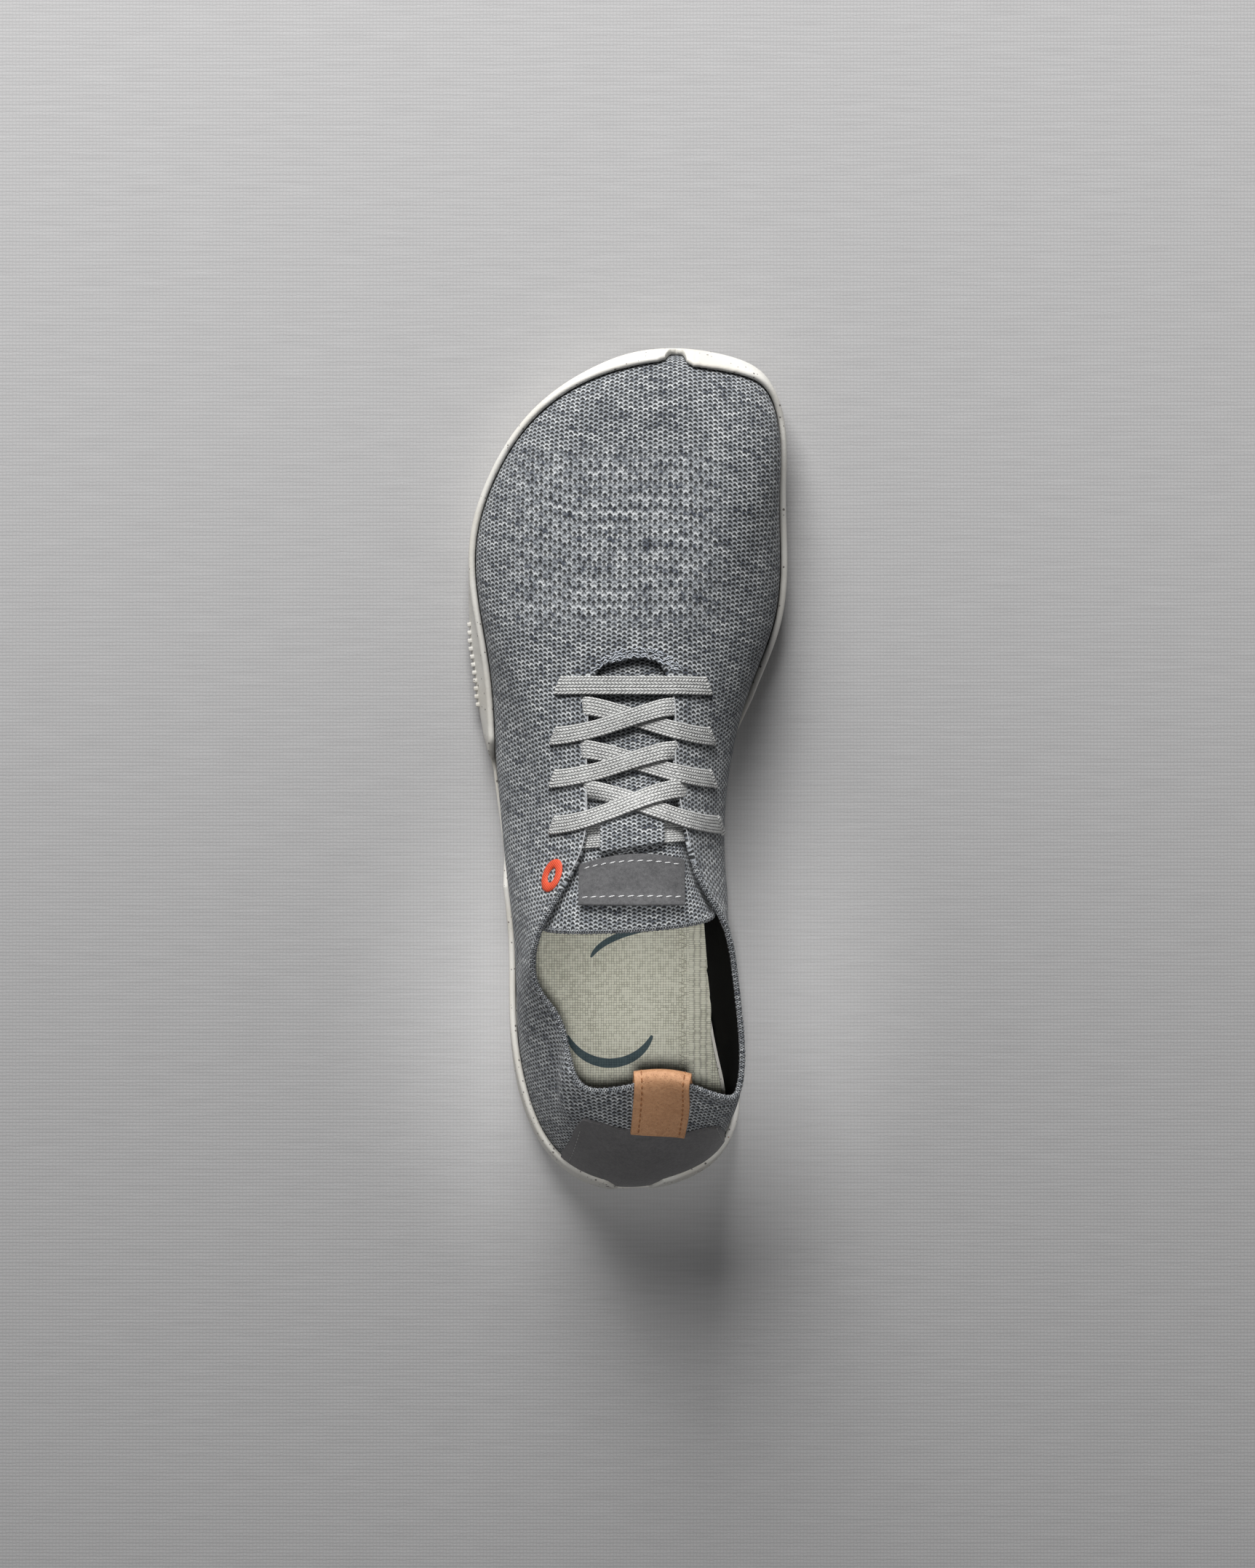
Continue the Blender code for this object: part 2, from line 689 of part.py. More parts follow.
def build_upper(turns, finish):
    """The knitted upper: one hollow wall, open at throat and collar and underneath."""
    shares = np.linspace(0, 1, WALL_ROWS)
    outer = wall(turns, shares)
    inner = wall(turns, shares, -UPPER_WALL)
    foot = feather(turns)[0][:, 2]
    inner[:, 0, 2] = foot
    rings = [outer[:, k] for k in range(WALL_ROWS)]
    rings += [inner[:, k] for k in reversed(range(WALL_ROWS))]
    return add_ring_solid("upper", rings, finish)


def build_insole(finish):
    """The removable insole, lying inside the upper on the sole's bed."""
    turns = np.arange(44) / 44
    climb = np.full(len(turns), INSOLE_GAP + INSOLE_THICKNESS)
    shares = np.column_stack([np.zeros(len(turns)), share_at_height(turns, climb)])
    sides = wall(turns, shares, -(UPPER_WALL + INSOLE_CLEARANCE))
    low, high = sides[:, 0, :2], sides[:, 1, :2]
    bottom = SOLE_THICKNESS + INSOLE_GAP
    top = bottom + INSOLE_THICKNESS
    low_rings, low_centre = floor_rings(low, BED_SHARES[::-1], bottom)
    high_rings, high_centre = floor_rings(high, BED_SHARES, top)
    edge_low = np.column_stack([low, ground(low[:, 1]) + bottom])
    edge_high = np.column_stack([high, ground(high[:, 1]) + top])
    rings = low_rings + [edge_low, edge_high] + high_rings
    return add_ring_solid("insole", rings, finish, [low_centre, high_centre])


def tongue_row(row, lift):
    """Points across the tongue's upper face, between two points of the throat's edges."""
    left_along, right_along = row.lateral * SOLE_LENGTH, row.medial * SOLE_LENGTH
    lateral = turn_at_along(left_along, THROAT_FRONT, LATERAL_THROAT_BACK)
    medial = turn_at_along(right_along, MEDIAL_THROAT_BACK, MEDIAL_THROAT_FRONT)
    under = UPPER_WALL + TONGUE_CLEARANCE - lift
    shares = [0.84, 0.92, 1.0]
    left = wall([lateral], shares, -under)[0]
    right = wall([medial], shares, -under)[0][::-1]
    left_way = left[-1] - left[-2]
    right_way = right[0] - right[1]
    span = np.linalg.norm(right[0] - left[-1])
    handle = 0.36 * span
    low = left[-1] + left_way / np.linalg.norm(left_way) * handle
    high = right[0] + right_way / np.linalg.norm(right_way) * handle
    t = np.linspace(0, 1, 9)[1:-1, None]
    arc = (
        (1 - t) ** 3 * left[-1]
        + 3 * (1 - t) ** 2 * t * low
        + 3 * (1 - t) * t**2 * high
        + t**3 * right[0]
    )
    return np.concatenate([left, arc, right])


def tongue_face(lift):
    """The tongue's upper face, from under the vamp to its free end, lifted along its normal."""
    rows = [tongue_row(r, lift) for r in TONGUE_ROWS]
    across = rows[0][:, 0]
    aside = (2 * across - across[0] - across[-1]) / (across[-1] - across[0])
    tucked = []
    for tuck in TONGUE_TUCK:
        row = rows[0].copy()
        ahead = (tuck.ends + (tuck.middle - tuck.ends) * (1 - aside**2)) * SOLE_LENGTH
        row[:, 1] += ahead
        row[:, 2] -= ahead * TUCK_SLOPE + tuck.drop
        tucked.append(row)
    return np.array(tucked + rows)


def build_tongue(finish):
    """The tongue: a thin curved sheet under both throat edges."""
    return add_sheet_solid("tongue", tongue_face(0.0), tongue_face(-TONGUE_WALL), finish)


def tree_of(objects):
    """A search tree over the faces of some objects."""
    points, faces = [], []
    for item in objects:
        first = len(points)
        points += [v.co.copy() for v in item.data.vertices]
        faces += [[first + i for i in p.vertices] for p in item.data.polygons]
    return BVHTree.FromPolygons(points, faces)


def height_over(tree, x, y):
    """Height of the first face found straight down from above, or None."""
    hit = tree.ray_cast(Vector((x, y, 1.0)), Vector((0, 0, -1)))[0]
    return None if hit is None else hit.z


def taut(run, heights):
    """Heights of a string drawn tight over those heights."""
    kept = []
    for point in zip(run, heights):
        while len(kept) > 1:
            (ax, az), (bx, bz) = kept[-2], kept[-1]
            if (bx - ax) * (point[1] - az) - (bz - az) * (point[0] - ax) < 0:
                break
            kept.pop()
        kept.append(point)
    kept = np.array(kept)
    return np.interp(run, kept[:, 0], kept[:, 1])


def raised_over(fine, heights, kept):
    """Heights at the kept steps, raised so that straight runs between them clear the rest."""
    chosen = heights[kept]
    short = heights - np.interp(fine, fine[kept], chosen)
    for k in range(len(kept) - 1):
        worst = max(0.0, short[kept[k] : kept[k + 1] + 1].max())
        chosen[k] = max(chosen[k], heights[kept[k]] + worst)
        chosen[k + 1] = max(chosen[k + 1], heights[kept[k + 1]] + worst)
    return chosen


def lace_strip(name, starts, ends, skin, finish, crossed=None):
    """A flat strip drawn tight over the skin, and over a crossed strip. Starts and ends are
    the plan positions of its near edge, middle and far edge."""
    fine = np.linspace(0, 1, LACE_STEPS * 4 + 1)
    kept = np.arange(0, len(fine), 4)
    lines = []
    for start, end in zip(starts, ends):
        path = start + np.outer(fine, end - start)
        heights = []
        for x, y in path:
            z = height_over(skin, x, y) + LACE_CLEARANCE
            over = height_over(crossed, x, y) if crossed else None
            heights.append(z if over is None else max(z, over - LACE_SINK))
        heights = raised_over(fine, taut(fine, heights), kept)
        lines.append(np.column_stack([path[kept], heights]))
    lines[1][:, 2] = np.maximum(lines[1][:, 2], (lines[0] + lines[2])[:, 2] / 2)
    bottom = np.swapaxes(np.array(lines), 0, 1)
    top = bottom + np.array([0, 0, LACE_THICKNESS])
    return add_sheet_solid(name, top, bottom, finish)


def throat_edge(along, lateral):
    """The point of the throat's edge that stands that far along, on one side."""
    if lateral:
        turn = turn_at_along(along, THROAT_FRONT, LATERAL_THROAT_BACK)
    else:
        turn = turn_at_along(along, MEDIAL_THROAT_BACK, MEDIAL_THROAT_FRONT)
    return opening([turn])[0]


def slit_place(along, lateral):
    """Where a lace slit stands, in plan."""
    edge = throat_edge(along * SOLE_LENGTH, lateral)
    setback = -SLIT_SETBACK if lateral else MEDIAL_SLIT_SETBACK
    return np.array([edge[0] + setback, edge[1]])


def slit_end(along, lateral, width):
    """The end of a lace strip in plan, just short of its slit."""
    x, y = slit_place(along, lateral)
    x += SLIT_WIDTH if lateral else -SLIT_WIDTH
    return [np.array([x, y + shift * width]) for shift in (-0.5, 0.0, 0.5)]


def throat_end(along, lateral, width):
    """The end of a lace strip in plan, just clear of the throat's edge."""
    ends = []
    for shift in (-0.5, 0.0, 0.5):
        edge = throat_edge(along * SOLE_LENGTH + shift * width, lateral)
        x = edge[0] + (THROAT_CLEARANCE if lateral else -THROAT_CLEARANCE)
        ends.append(np.array([x, edge[1]]))
    return ends


def build_laces(skin, finish):
    """The bar and the crossings of the lace, each crossing one joined solid."""
    bar = [slit_end(STRAIGHT_BAR_ALONG, side, LACE_WIDTH) for side in (True, False)]
    lace_strip("lace_bar_1", *bar, skin, finish)
    for number, crossing in enumerate(CROSSINGS, start=2):
        pairs = []
        for lateral in (True, False):
            start = throat_end(crossing.edge_along, lateral, LACE_WIDTH)
            end = slit_end(crossing.slit_along, not lateral, LACE_WIDTH)
            pairs.append((start, end))
        lower = lace_strip("lower", *pairs[0], skin, finish)
        name = f"lace_cross_{number}"
        upper = lace_strip(name, *pairs[1], skin, finish, tree_of([lower]))
        apply_boolean(upper, lower, "UNION")


def build_tails(tongue, finish):
    """The lace's two tails, side by side across the tongue under the keeper."""
    skin = tree_of([tongue])
    tails = []
    for number, tail in enumerate(TAILS, start=1):
        ends = (throat_end(tail.lateral, True, TAIL_WIDTH), throat_end(tail.medial, False, TAIL_WIDTH))
        tails.append(lace_strip(f"lace_tail_{number}", *ends, skin, finish))
    return tails


def cut_slits(upper):
    """Cuts the eight slits that the lace runs through."""
    skin = tree_of([upper])
    cutters = []
    for lateral in (True, False):
        alongs = [STRAIGHT_BAR_ALONG] + [c.slit_along for c in CROSSINGS]
        for along in alongs:
            x, y = slit_place(along, lateral)
            ray = skin.ray_cast(Vector((x, y, 1.0)), Vector((0, 0, -1)))
            normal = np.array(ray[1])
            normal *= math.copysign(1.0, normal[2])
            length = np.cross([1.0, 0.0, 0.0], normal)
            length /= np.linalg.norm(length)
            across = np.cross(length, normal)
            size = (SLIT_WIDTH, SLIT_LENGTH, UPPER_WALL * 4)
            cutters.append(add_box("slit", np.array(ray[0]), size, (across, length, normal)))
    apply_boolean(upper, join_objects("slits", cutters), "DIFFERENCE")


def build_keeper(tongue, finish):
    """The panel on the tongue that holds the lace's tails down, arched over them."""
    skin = tree_of([tongue])
    rows, columns = len(KEEPER_ROWS), 6
    top, bottom = np.zeros((rows, columns, 3)), np.zeros((rows, columns, 3))
    middle = KEEPER_ALONG * SOLE_LENGTH
    centre = KEEPER_ACROSS * BALL_WIDTH
    for r, v in enumerate(KEEPER_ROWS):
        arch = smooth_step(-0.50, -0.45, v) * smooth_step(0.50, 0.22, v)
        arch *= LACE_THICKNESS + LACE_CLEARANCE
        for c, u in enumerate(np.linspace(-0.5, 0.5, columns)):
            x = centre + u * KEEPER_WIDTH
            y = middle + v * KEEPER_LENGTH + u * KEEPER_WIDTH * KEEPER_SLANT
            z = height_over(skin, x, y) + SEWN_GAP + arch
            bottom[r, c] = (x, y, z)
            top[r, c] = (x, y, z + KEEPER_WALL)
    return add_sheet_solid("tongue_keeper", top, bottom, finish)


def build_label(tongue, finish):
    """The label sewn across the tongue, its rear edge a little loose."""
    skin = tree_of([tongue])
    rows, columns = 5, 12
    top, bottom = np.zeros((rows, columns, 3)), np.zeros((rows, columns, 3))
    centre = np.array([LABEL_ACROSS * BALL_WIDTH, LABEL_ALONG * SOLE_LENGTH])
    for r, v in enumerate(np.linspace(-0.5, 0.5, rows)):
        loose = smooth_step(-0.15, -0.5, v) * LABEL_LOOSE
        for c, u in enumerate(np.linspace(-0.5, 0.5, columns)):
            bow = (0.5 - 4 * (u - 0.08) ** 2 * 0.9) * LABEL_ARCH * (v + 0.5)
            x = centre[0] + u * LABEL_WIDTH
            y = centre[1] + v * LABEL_LENGTH + bow
            z = height_over(skin, x, y) + SEWN_GAP * 1.3 + loose
            bottom[r, c] = (x, y, z)
            top[r, c] = (x, y, z + LABEL_THICKNESS)
    return add_sheet_solid("tongue_label", top, bottom, finish)


def build_patch(turns, finish):
    """The patch round the heel, from just over the rim up to its own top edge."""
    table = np.array(PATCH_TOP)
    first, last = table[0, 0], table[-1, 0]
    inside = turns[(turns > first + 0.002) & (turns < last - 0.002)]
    corners = [t for t in table[:, 0] if np.abs(inside - t).min() > 0.002]
    kept = np.sort(np.concatenate([inside, corners]))
    height = rim_values(kept)[0]
    low = share_at_height(kept, height + 0.0008)
    high = np.interp(kept, table[:, 0], table[:, 1])
    shares = low[:, None] + (high - low)[:, None] * np.linspace(0, 1, 7)
    near = wall(kept, shares, SEWN_GAP)
    far = wall(kept, shares, SEWN_GAP + PATCH_THICKNESS)
    return add_sheet_solid("heel_patch", far, near, finish)


def build_tab(finish):
    """The pull tab: a strip folded over the collar at the heel, standing up in a low loop."""
    foot, head = np.linspace(*TAB_FOOT, 4), np.linspace(*TAB_HEAD, 4)
    low = np.linspace(*TAB_FOOT_SHARES, 4)
    lift = SEWN_GAP * 2 + PATCH_THICKNESS
    rows = []
    for rise in np.linspace(0, 1, 6):
        shares = low + (1 - low) * rise
        rows.append(wall(foot + (head - foot) * rise, shares[:, None], lift)[:, 0])
    outer = np.swapaxes(np.array(rows), 0, 1)
    inner = wall(head, np.linspace(1.0, TAB_INNER_SHARE, 4), -(UPPER_WALL + SEWN_GAP))
    paths = []
    for out_leg, in_leg in zip(outer, inner):
        upward = out_leg[-1] - out_leg[-2]
        upward /= np.linalg.norm(upward)
        across = in_leg[0] - out_leg[-1]
        fold = []
        for angle in np.linspace(0, math.pi, 7)[1:-1]:
            step = out_leg[-1] + across * (1 - math.cos(angle)) / 2
            fold.append(step + upward * TAB_RISE * math.sin(angle))
        paths.append(np.concatenate([out_leg, fold, in_leg]))
    near = np.array(paths)
    along = np.gradient(near, axis=1)
    sideways = np.gradient(near, axis=0)
    normal = np.cross(sideways, along)
    normal /= np.linalg.norm(normal, axis=2)[:, :, None]
    return add_sheet_solid("pull_tab", near + normal * TAB_THICKNESS, near, finish)


def add_side_ribs(sole, finish):
    """A row of short upright ribs on the flared side beside the little toe's joint."""
    shown = []
    turns = np.linspace(0.1925, 0.2330, RIB_COUNT)
    points, away = feather(turns)
    height, stand = rim_values(turns)
    for point, direction, reach in zip(points, away, stand):
        base = float(ground(point[1])) + SOLE_EDGE_ROUND * 1.5
        outwards = np.array([direction[0], direction[1], 0.0])
        across = np.array([-direction[1], direction[0], 0.0])
        centre = np.array([point[0], point[1], base + RIB_HEIGHT / 2])
        centre += outwards * (SEAT_GAP + reach - RIB_STAND * 0.4)
        size = (RIB_STAND * 2.4, RIB_WIDTH, RIB_HEIGHT)
        axes = (outwards, across, np.array([0.0, 0.0, 1.0]))
        shown.append(add_box("rib", centre, size, axes))
    apply_boolean(sole, join_objects("ribs", shown), "UNION")


def clear_scene():
    """Removes whatever the scene holds."""
    for item in list(bpy.data.objects):
        bpy.data.objects.remove(item)


def centre_over_origin():
    """Moves every mesh so that the shoe stands centred over the origin."""
    shown = [o for o in bpy.data.objects if o.type == "MESH" and not o.hide_render]
    corners = np.array([v.co for o in shown for v in o.data.vertices])
    low, high = corners.min(axis=0), corners.max(axis=0)
    shift = Vector((-(low[0] + high[0]) / 2, -(low[1] + high[1]) / 2, -low[2]))
    for item in shown:
        item.data.transform(Matrix.Translation(shift))


def main():
    """Builds every piece of the shoe."""
    clear_scene()
    knit = material("knit", KNIT_GREY, 0.9)
    turns = column_turns()
    sole = build_outsole(turns, material("sole", SOLE_CREAM, 0.5))
    cut_tread(sole)
    add_side_ribs(sole, sole.data.materials[0])
    upper = build_upper(turns, knit)
    build_insole(material("insole", INSOLE_SAGE, 0.9))
    tongue = build_tongue(knit)
    lace = material("lace", LACE_GREY, 0.8)
    tails = build_tails(tongue, lace)
    keeper = build_keeper(tongue, knit)
    build_laces(tree_of([upper, tongue, keeper] + tails), lace)
    cut_slits(upper)
    suede = material("suede", SUEDE_GREY, 0.9)
    build_label(tongue, suede)
    build_patch(turns, suede)
    build_tab(material("tab", TAB_TAN, 0.7))
    centre_over_origin()


main()
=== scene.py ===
"""Barefoot shoe for the left foot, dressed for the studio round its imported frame.

Metres, +Z up, +Y towards the toes, +X towards the big toe. The soft pieces are laid on the same
last as the solids that they stand for, only finer, and finished with procedural materials.
"""

from __future__ import annotations

import logging
import math
from dataclasses import dataclass, field
from enum import Enum
from typing import Callable, Iterable, Optional, Sequence

import bpy
import numpy as np
from mathutils import Matrix, Vector
from mathutils.bvhtree import BVHTree


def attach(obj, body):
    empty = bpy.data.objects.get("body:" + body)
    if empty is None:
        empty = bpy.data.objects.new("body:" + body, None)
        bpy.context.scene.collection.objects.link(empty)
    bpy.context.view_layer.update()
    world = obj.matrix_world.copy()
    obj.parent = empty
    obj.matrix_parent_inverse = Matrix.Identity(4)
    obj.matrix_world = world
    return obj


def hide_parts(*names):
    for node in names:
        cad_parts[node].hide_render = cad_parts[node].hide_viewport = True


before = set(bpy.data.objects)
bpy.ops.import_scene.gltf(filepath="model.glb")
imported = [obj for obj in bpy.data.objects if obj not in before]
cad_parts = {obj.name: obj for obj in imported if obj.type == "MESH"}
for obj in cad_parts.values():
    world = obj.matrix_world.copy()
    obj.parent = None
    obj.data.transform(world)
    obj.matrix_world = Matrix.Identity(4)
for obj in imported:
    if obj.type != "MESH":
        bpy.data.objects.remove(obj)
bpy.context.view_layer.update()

LOG = logging.getLogger("barefoot_shoe")
BODY = "root"
Pair = tuple[float, float]
Pairs = tuple[Pair, ...]
Triple = tuple[float, float, float]
Colour = Triple
Piece = bpy.types.Object
Material = bpy.types.Material
Array = np.ndarray
UP = np.array([0.0, 0.0, 1.0])

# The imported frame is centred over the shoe's box; the last is laid out from the heel's back.
HEEL_TO_FRAME = (0.0000199, -0.1381925)

# The sole's outer edge: shares of its length and of the ball's width
OUTLINE = (
    (1.0, 0.154), (0.995, 0.016), (0.971, -0.138), (0.927, -0.291), (0.852, -0.427),
    (0.776, -0.493), (0.716, -0.492), (0.664, -0.47), (0.6, -0.448), (0.52, -0.436),
    (0.45, -0.414), (0.375, -0.388), (0.299, -0.369), (0.204, -0.37), (0.108, -0.335),
    (0.042, -0.248), (0.007, -0.119), (0.0, 0.022), (0.009, 0.158), (0.038, 0.288), (0.096, 0.352),
    (0.165, 0.326), (0.245, 0.29), (0.335, 0.268), (0.42, 0.274), (0.507, 0.318), (0.606, 0.414),
    (0.68, 0.487), (0.749, 0.501), (0.835, 0.488), (0.915, 0.483), (0.97, 0.43), (0.993, 0.302),
)

# The throat's and collar's edge: turn, along, across, height
OPENING = (
    (0.0, 0.631, 0.045, 0.7), (0.06, 0.626, -0.045, 0.702), (0.115, 0.608, -0.106, 0.712),
    (0.16, 0.56, -0.125, 0.772), (0.225, 0.468, -0.129, 0.908), (0.275, 0.402, -0.152, 0.99),
    (0.305, 0.36, -0.212, 0.99), (0.335, 0.325, -0.264, 0.945), (0.37, 0.284, -0.293, 0.85),
    (0.4, 0.245, -0.275, 0.785), (0.425, 0.212, -0.217, 0.755), (0.45, 0.172, -0.188, 0.76),
    (0.474, 0.134, -0.141, 0.79), (0.509, 0.135, 0.03, 0.83), (0.552, 0.131, 0.215, 0.825),
    (0.578, 0.121, 0.325, 0.79), (0.596, 0.141, 0.353, 0.775), (0.66, 0.258, 0.339, 0.815),
    (0.7, 0.325, 0.303, 0.92), (0.738, 0.382, 0.222, 0.992), (0.768, 0.432, 0.184, 0.955),
    (0.805, 0.5, 0.155, 0.858), (0.85, 0.572, 0.153, 0.752), (0.893, 0.614, 0.124, 0.71),
    (0.945, 0.628, 0.088, 0.702),
)

# The wall's sections: turn, lean, stand, slope, reach
SECTIONS = (
    (0.0, 8, 0.8, 14, 0.6), (0.025, 8, 0.76, 15, 0.58), (0.05, -5, 0.72, 16, 0.56),
    (0.074, -13, 0.71, 17, 0.54), (0.1, -15, 0.7, 20, 0.52), (0.15, -7, 0.72, 26, 0.46),
    (0.2, -6, 0.7, 32, 0.42), (0.25, -2, 0.68, 42, 0.38), (0.3, -12, 0.72, 56, 0.34),
    (0.34, -8, 0.66, 66, 0.34), (0.38, -1, 0.6, 74, 0.34), (0.42, 8, 0.6, 66, 0.36),
    (0.465, 12, 0.66, 54, 0.36), (0.487, 14, 0.69, 48, 0.37), (0.509, 6, 0.72, 42, 0.38),
    (0.531, 10, 0.71, 47, 0.37), (0.55, 10, 0.7, 52, 0.36), (0.585, -2, 0.66, 84, 0.34),
    (0.64, -10, 0.66, 94, 0.34), (0.69, -26, 0.74, 86, 0.34), (0.74, -24, 0.8, 70, 0.34),
    (0.79, -8, 0.8, 54, 0.36), (0.84, -5, 0.84, 38, 0.4), (0.89, -15, 0.94, 24, 0.46),
    (0.93, -15, 0.98, 17, 0.52), (0.97, 9, 0.92, 14, 0.58),
)

# The rim: turn, height as a share of the full one, and how far the sole's edge stands out
RIM = (
    (-0.01, 1.12, 1.0), (-0.006, 0.95, 1.0), (-0.003, 0.22, 0.95), (0.0, 0.0, 0.92),
    (0.0026, 0.18, 0.95), (0.0052, 0.76, 1.0), (0.009, 0.88, 1.0), (0.05, 0.84, 1.0),
    (0.12, 0.74, 1.0), (0.165, 0.76, 1.05), (0.183, 0.8, 1.77), (0.202, 0.84, 2.59),
    (0.23, 0.84, 2.48), (0.25, 0.8, 1.6), (0.256, 0.52, 1.15), (0.26, 0.08, 0.6),
    (0.266, 0.0, 0.2), (0.308, 0.0, 0.2), (0.313, 0.1, 0.6), (0.324, 0.56, 1.0), (0.37, 0.66, 1.0),
    (0.45, 0.7, 1.0), (0.488, 0.92, 1.0), (0.495, 0.98, 1.0), (0.4985, 0.6, 0.9),
    (0.501, 0.05, 0.5), (0.509, 0.0, 0.3), (0.5165, 0.05, 0.5), (0.519, 0.5, 0.9),
    (0.524, 0.94, 1.0), (0.56, 0.76, 1.0), (0.62, 0.62, 1.0), (0.69, 0.5, 1.0), (0.705, 0.08, 0.6),
    (0.71, 0.0, 0.2), (0.764, 0.0, 0.2), (0.77, 0.1, 0.6), (0.79, 0.6, 1.0), (0.86, 0.74, 1.0),
    (0.93, 0.8, 1.0), (0.96, 1.08, 1.0), (0.98, 1.12, 1.0),
)


class Slot(Enum):
    """The record's material slots."""

    SOLE = "sole"
    KNIT = "knit"
    INSOLE = "insole"
    SUEDE = "suede"
    TAB = "tab"
    LACE = "lace"


class Side(Enum):
    """The two sides of the throat."""

    LATERAL = -1
    MEDIAL = 1


class ClosedSpline:
    """The smooth closed curve through values at turns from 0 to 1."""

    def __init__(self, turns: Sequence[float], values: Sequence[Sequence[float]]) -> None:
        """Solves the curve's bends.

        Args:
            turns: where the values stand, rising.
            values: one row of values for each turn.
        """
        self.turns = np.asarray(turns, float)
        self.values = np.asarray(values, float).reshape(len(self.turns), -1)
        count = len(self.turns)
        step = np.diff(np.append(self.turns, self.turns[0] + 1.0))
        rise = (np.roll(self.values, -1, axis=0) - self.values) / step[:, None]
        system = np.zeros((count, count))
        for i in range(count):
            system[i, i - 1] = step[i - 1]
            system[i, i] = 2 * (step[i - 1] + step[i])
            system[i, (i + 1) % count] = step[i]
        self.step = step
        self.bend = np.linalg.solve(system, 6 * (rise - np.roll(rise, 1, axis=0)))

    def __call__(self, at: Iterable[float]) -> Array:
        """Values at some turns.

        Args:
            at: the turns asked for.

        Returns:
            One row of values for each.
        """
        at = np.mod(np.asarray(at, float) - self.turns[0], 1.0) + self.turns[0]
        count = len(self.turns)
        i = np.clip(np.searchsorted(self.turns, at, side="right") - 1, 0, count - 1)
        j = (i + 1) % count
        h = self.step[i][:, None]
        b = ((at - self.turns[i]) / self.step[i])[:, None]
        a = 1 - b
        cubic = (a**3 - a) * self.bend[i] + (b**3 - b) * self.bend[j]
        return a * self.values[i] + b * self.values[j] + cubic * h**2 / 6


def smooth_step(low: float, high: float, value: float | Array) -> Array:
    """0 below low, 1 above high and a smooth climb between them."""
    t = np.clip((np.asarray(value, float) - low) / (high - low), 0.0, 1.0)
    return t * t * (3 - 2 * t)


def unit(vectors: Array) -> Array:
    """The vectors at length one."""
    return vectors / np.maximum(np.linalg.norm(vectors, axis=-1, keepdims=True), 1e-12)


def run_along(curve: Array) -> Array:
    """The length of a curve up to each of its points."""
    steps = np.linalg.norm(np.diff(curve, axis=0), axis=1)
    return np.concatenate([[0.0], np.cumsum(steps)])


def at_lengths(curve: Array, run: Array, at: float | Array) -> Array:
    """Values of a curve at lengths along it."""
    return np.stack([np.interp(at, run, line) for line in curve.T], axis=-1)


def spread(curve: Array, shares: Array) -> Array:
    """Points at shares of a curve's length."""
    run = run_along(curve)
    return at_lengths(curve, run, np.asarray(shares, float) * run[-1])


def row_of(points: Array, count: int) -> Array:
    """Points evenly spread along a line through a few."""
    run = run_along(points)
    return at_lengths(points, run, np.linspace(0, run[-1], count))


def looped(rings: Array) -> Array:
    """Rings whose last point is their first again."""
    return np.concatenate([rings, rings[:, :1]], axis=1)


def capped(rings: Array) -> Array:
    """Rings with one more at either end, drawn together to the end's middle."""
    ends = [np.broadcast_to(rings[k].mean(axis=0), rings[:1].shape) for k in (0, -1)]
    return np.concatenate([ends[0], rings, ends[1]])


def arch_between(low: Array, low_pull: Array, high_pull: Array, high: Array, t: Array) -> Array:
    """Points of the cubic arch from low to high, drawn towards the two pulls."""
    arch = (1 - t) ** 3 * low + 3 * (1 - t) ** 2 * t * low_pull
    return arch + 3 * (1 - t) * t**2 * high_pull + t**3 * high


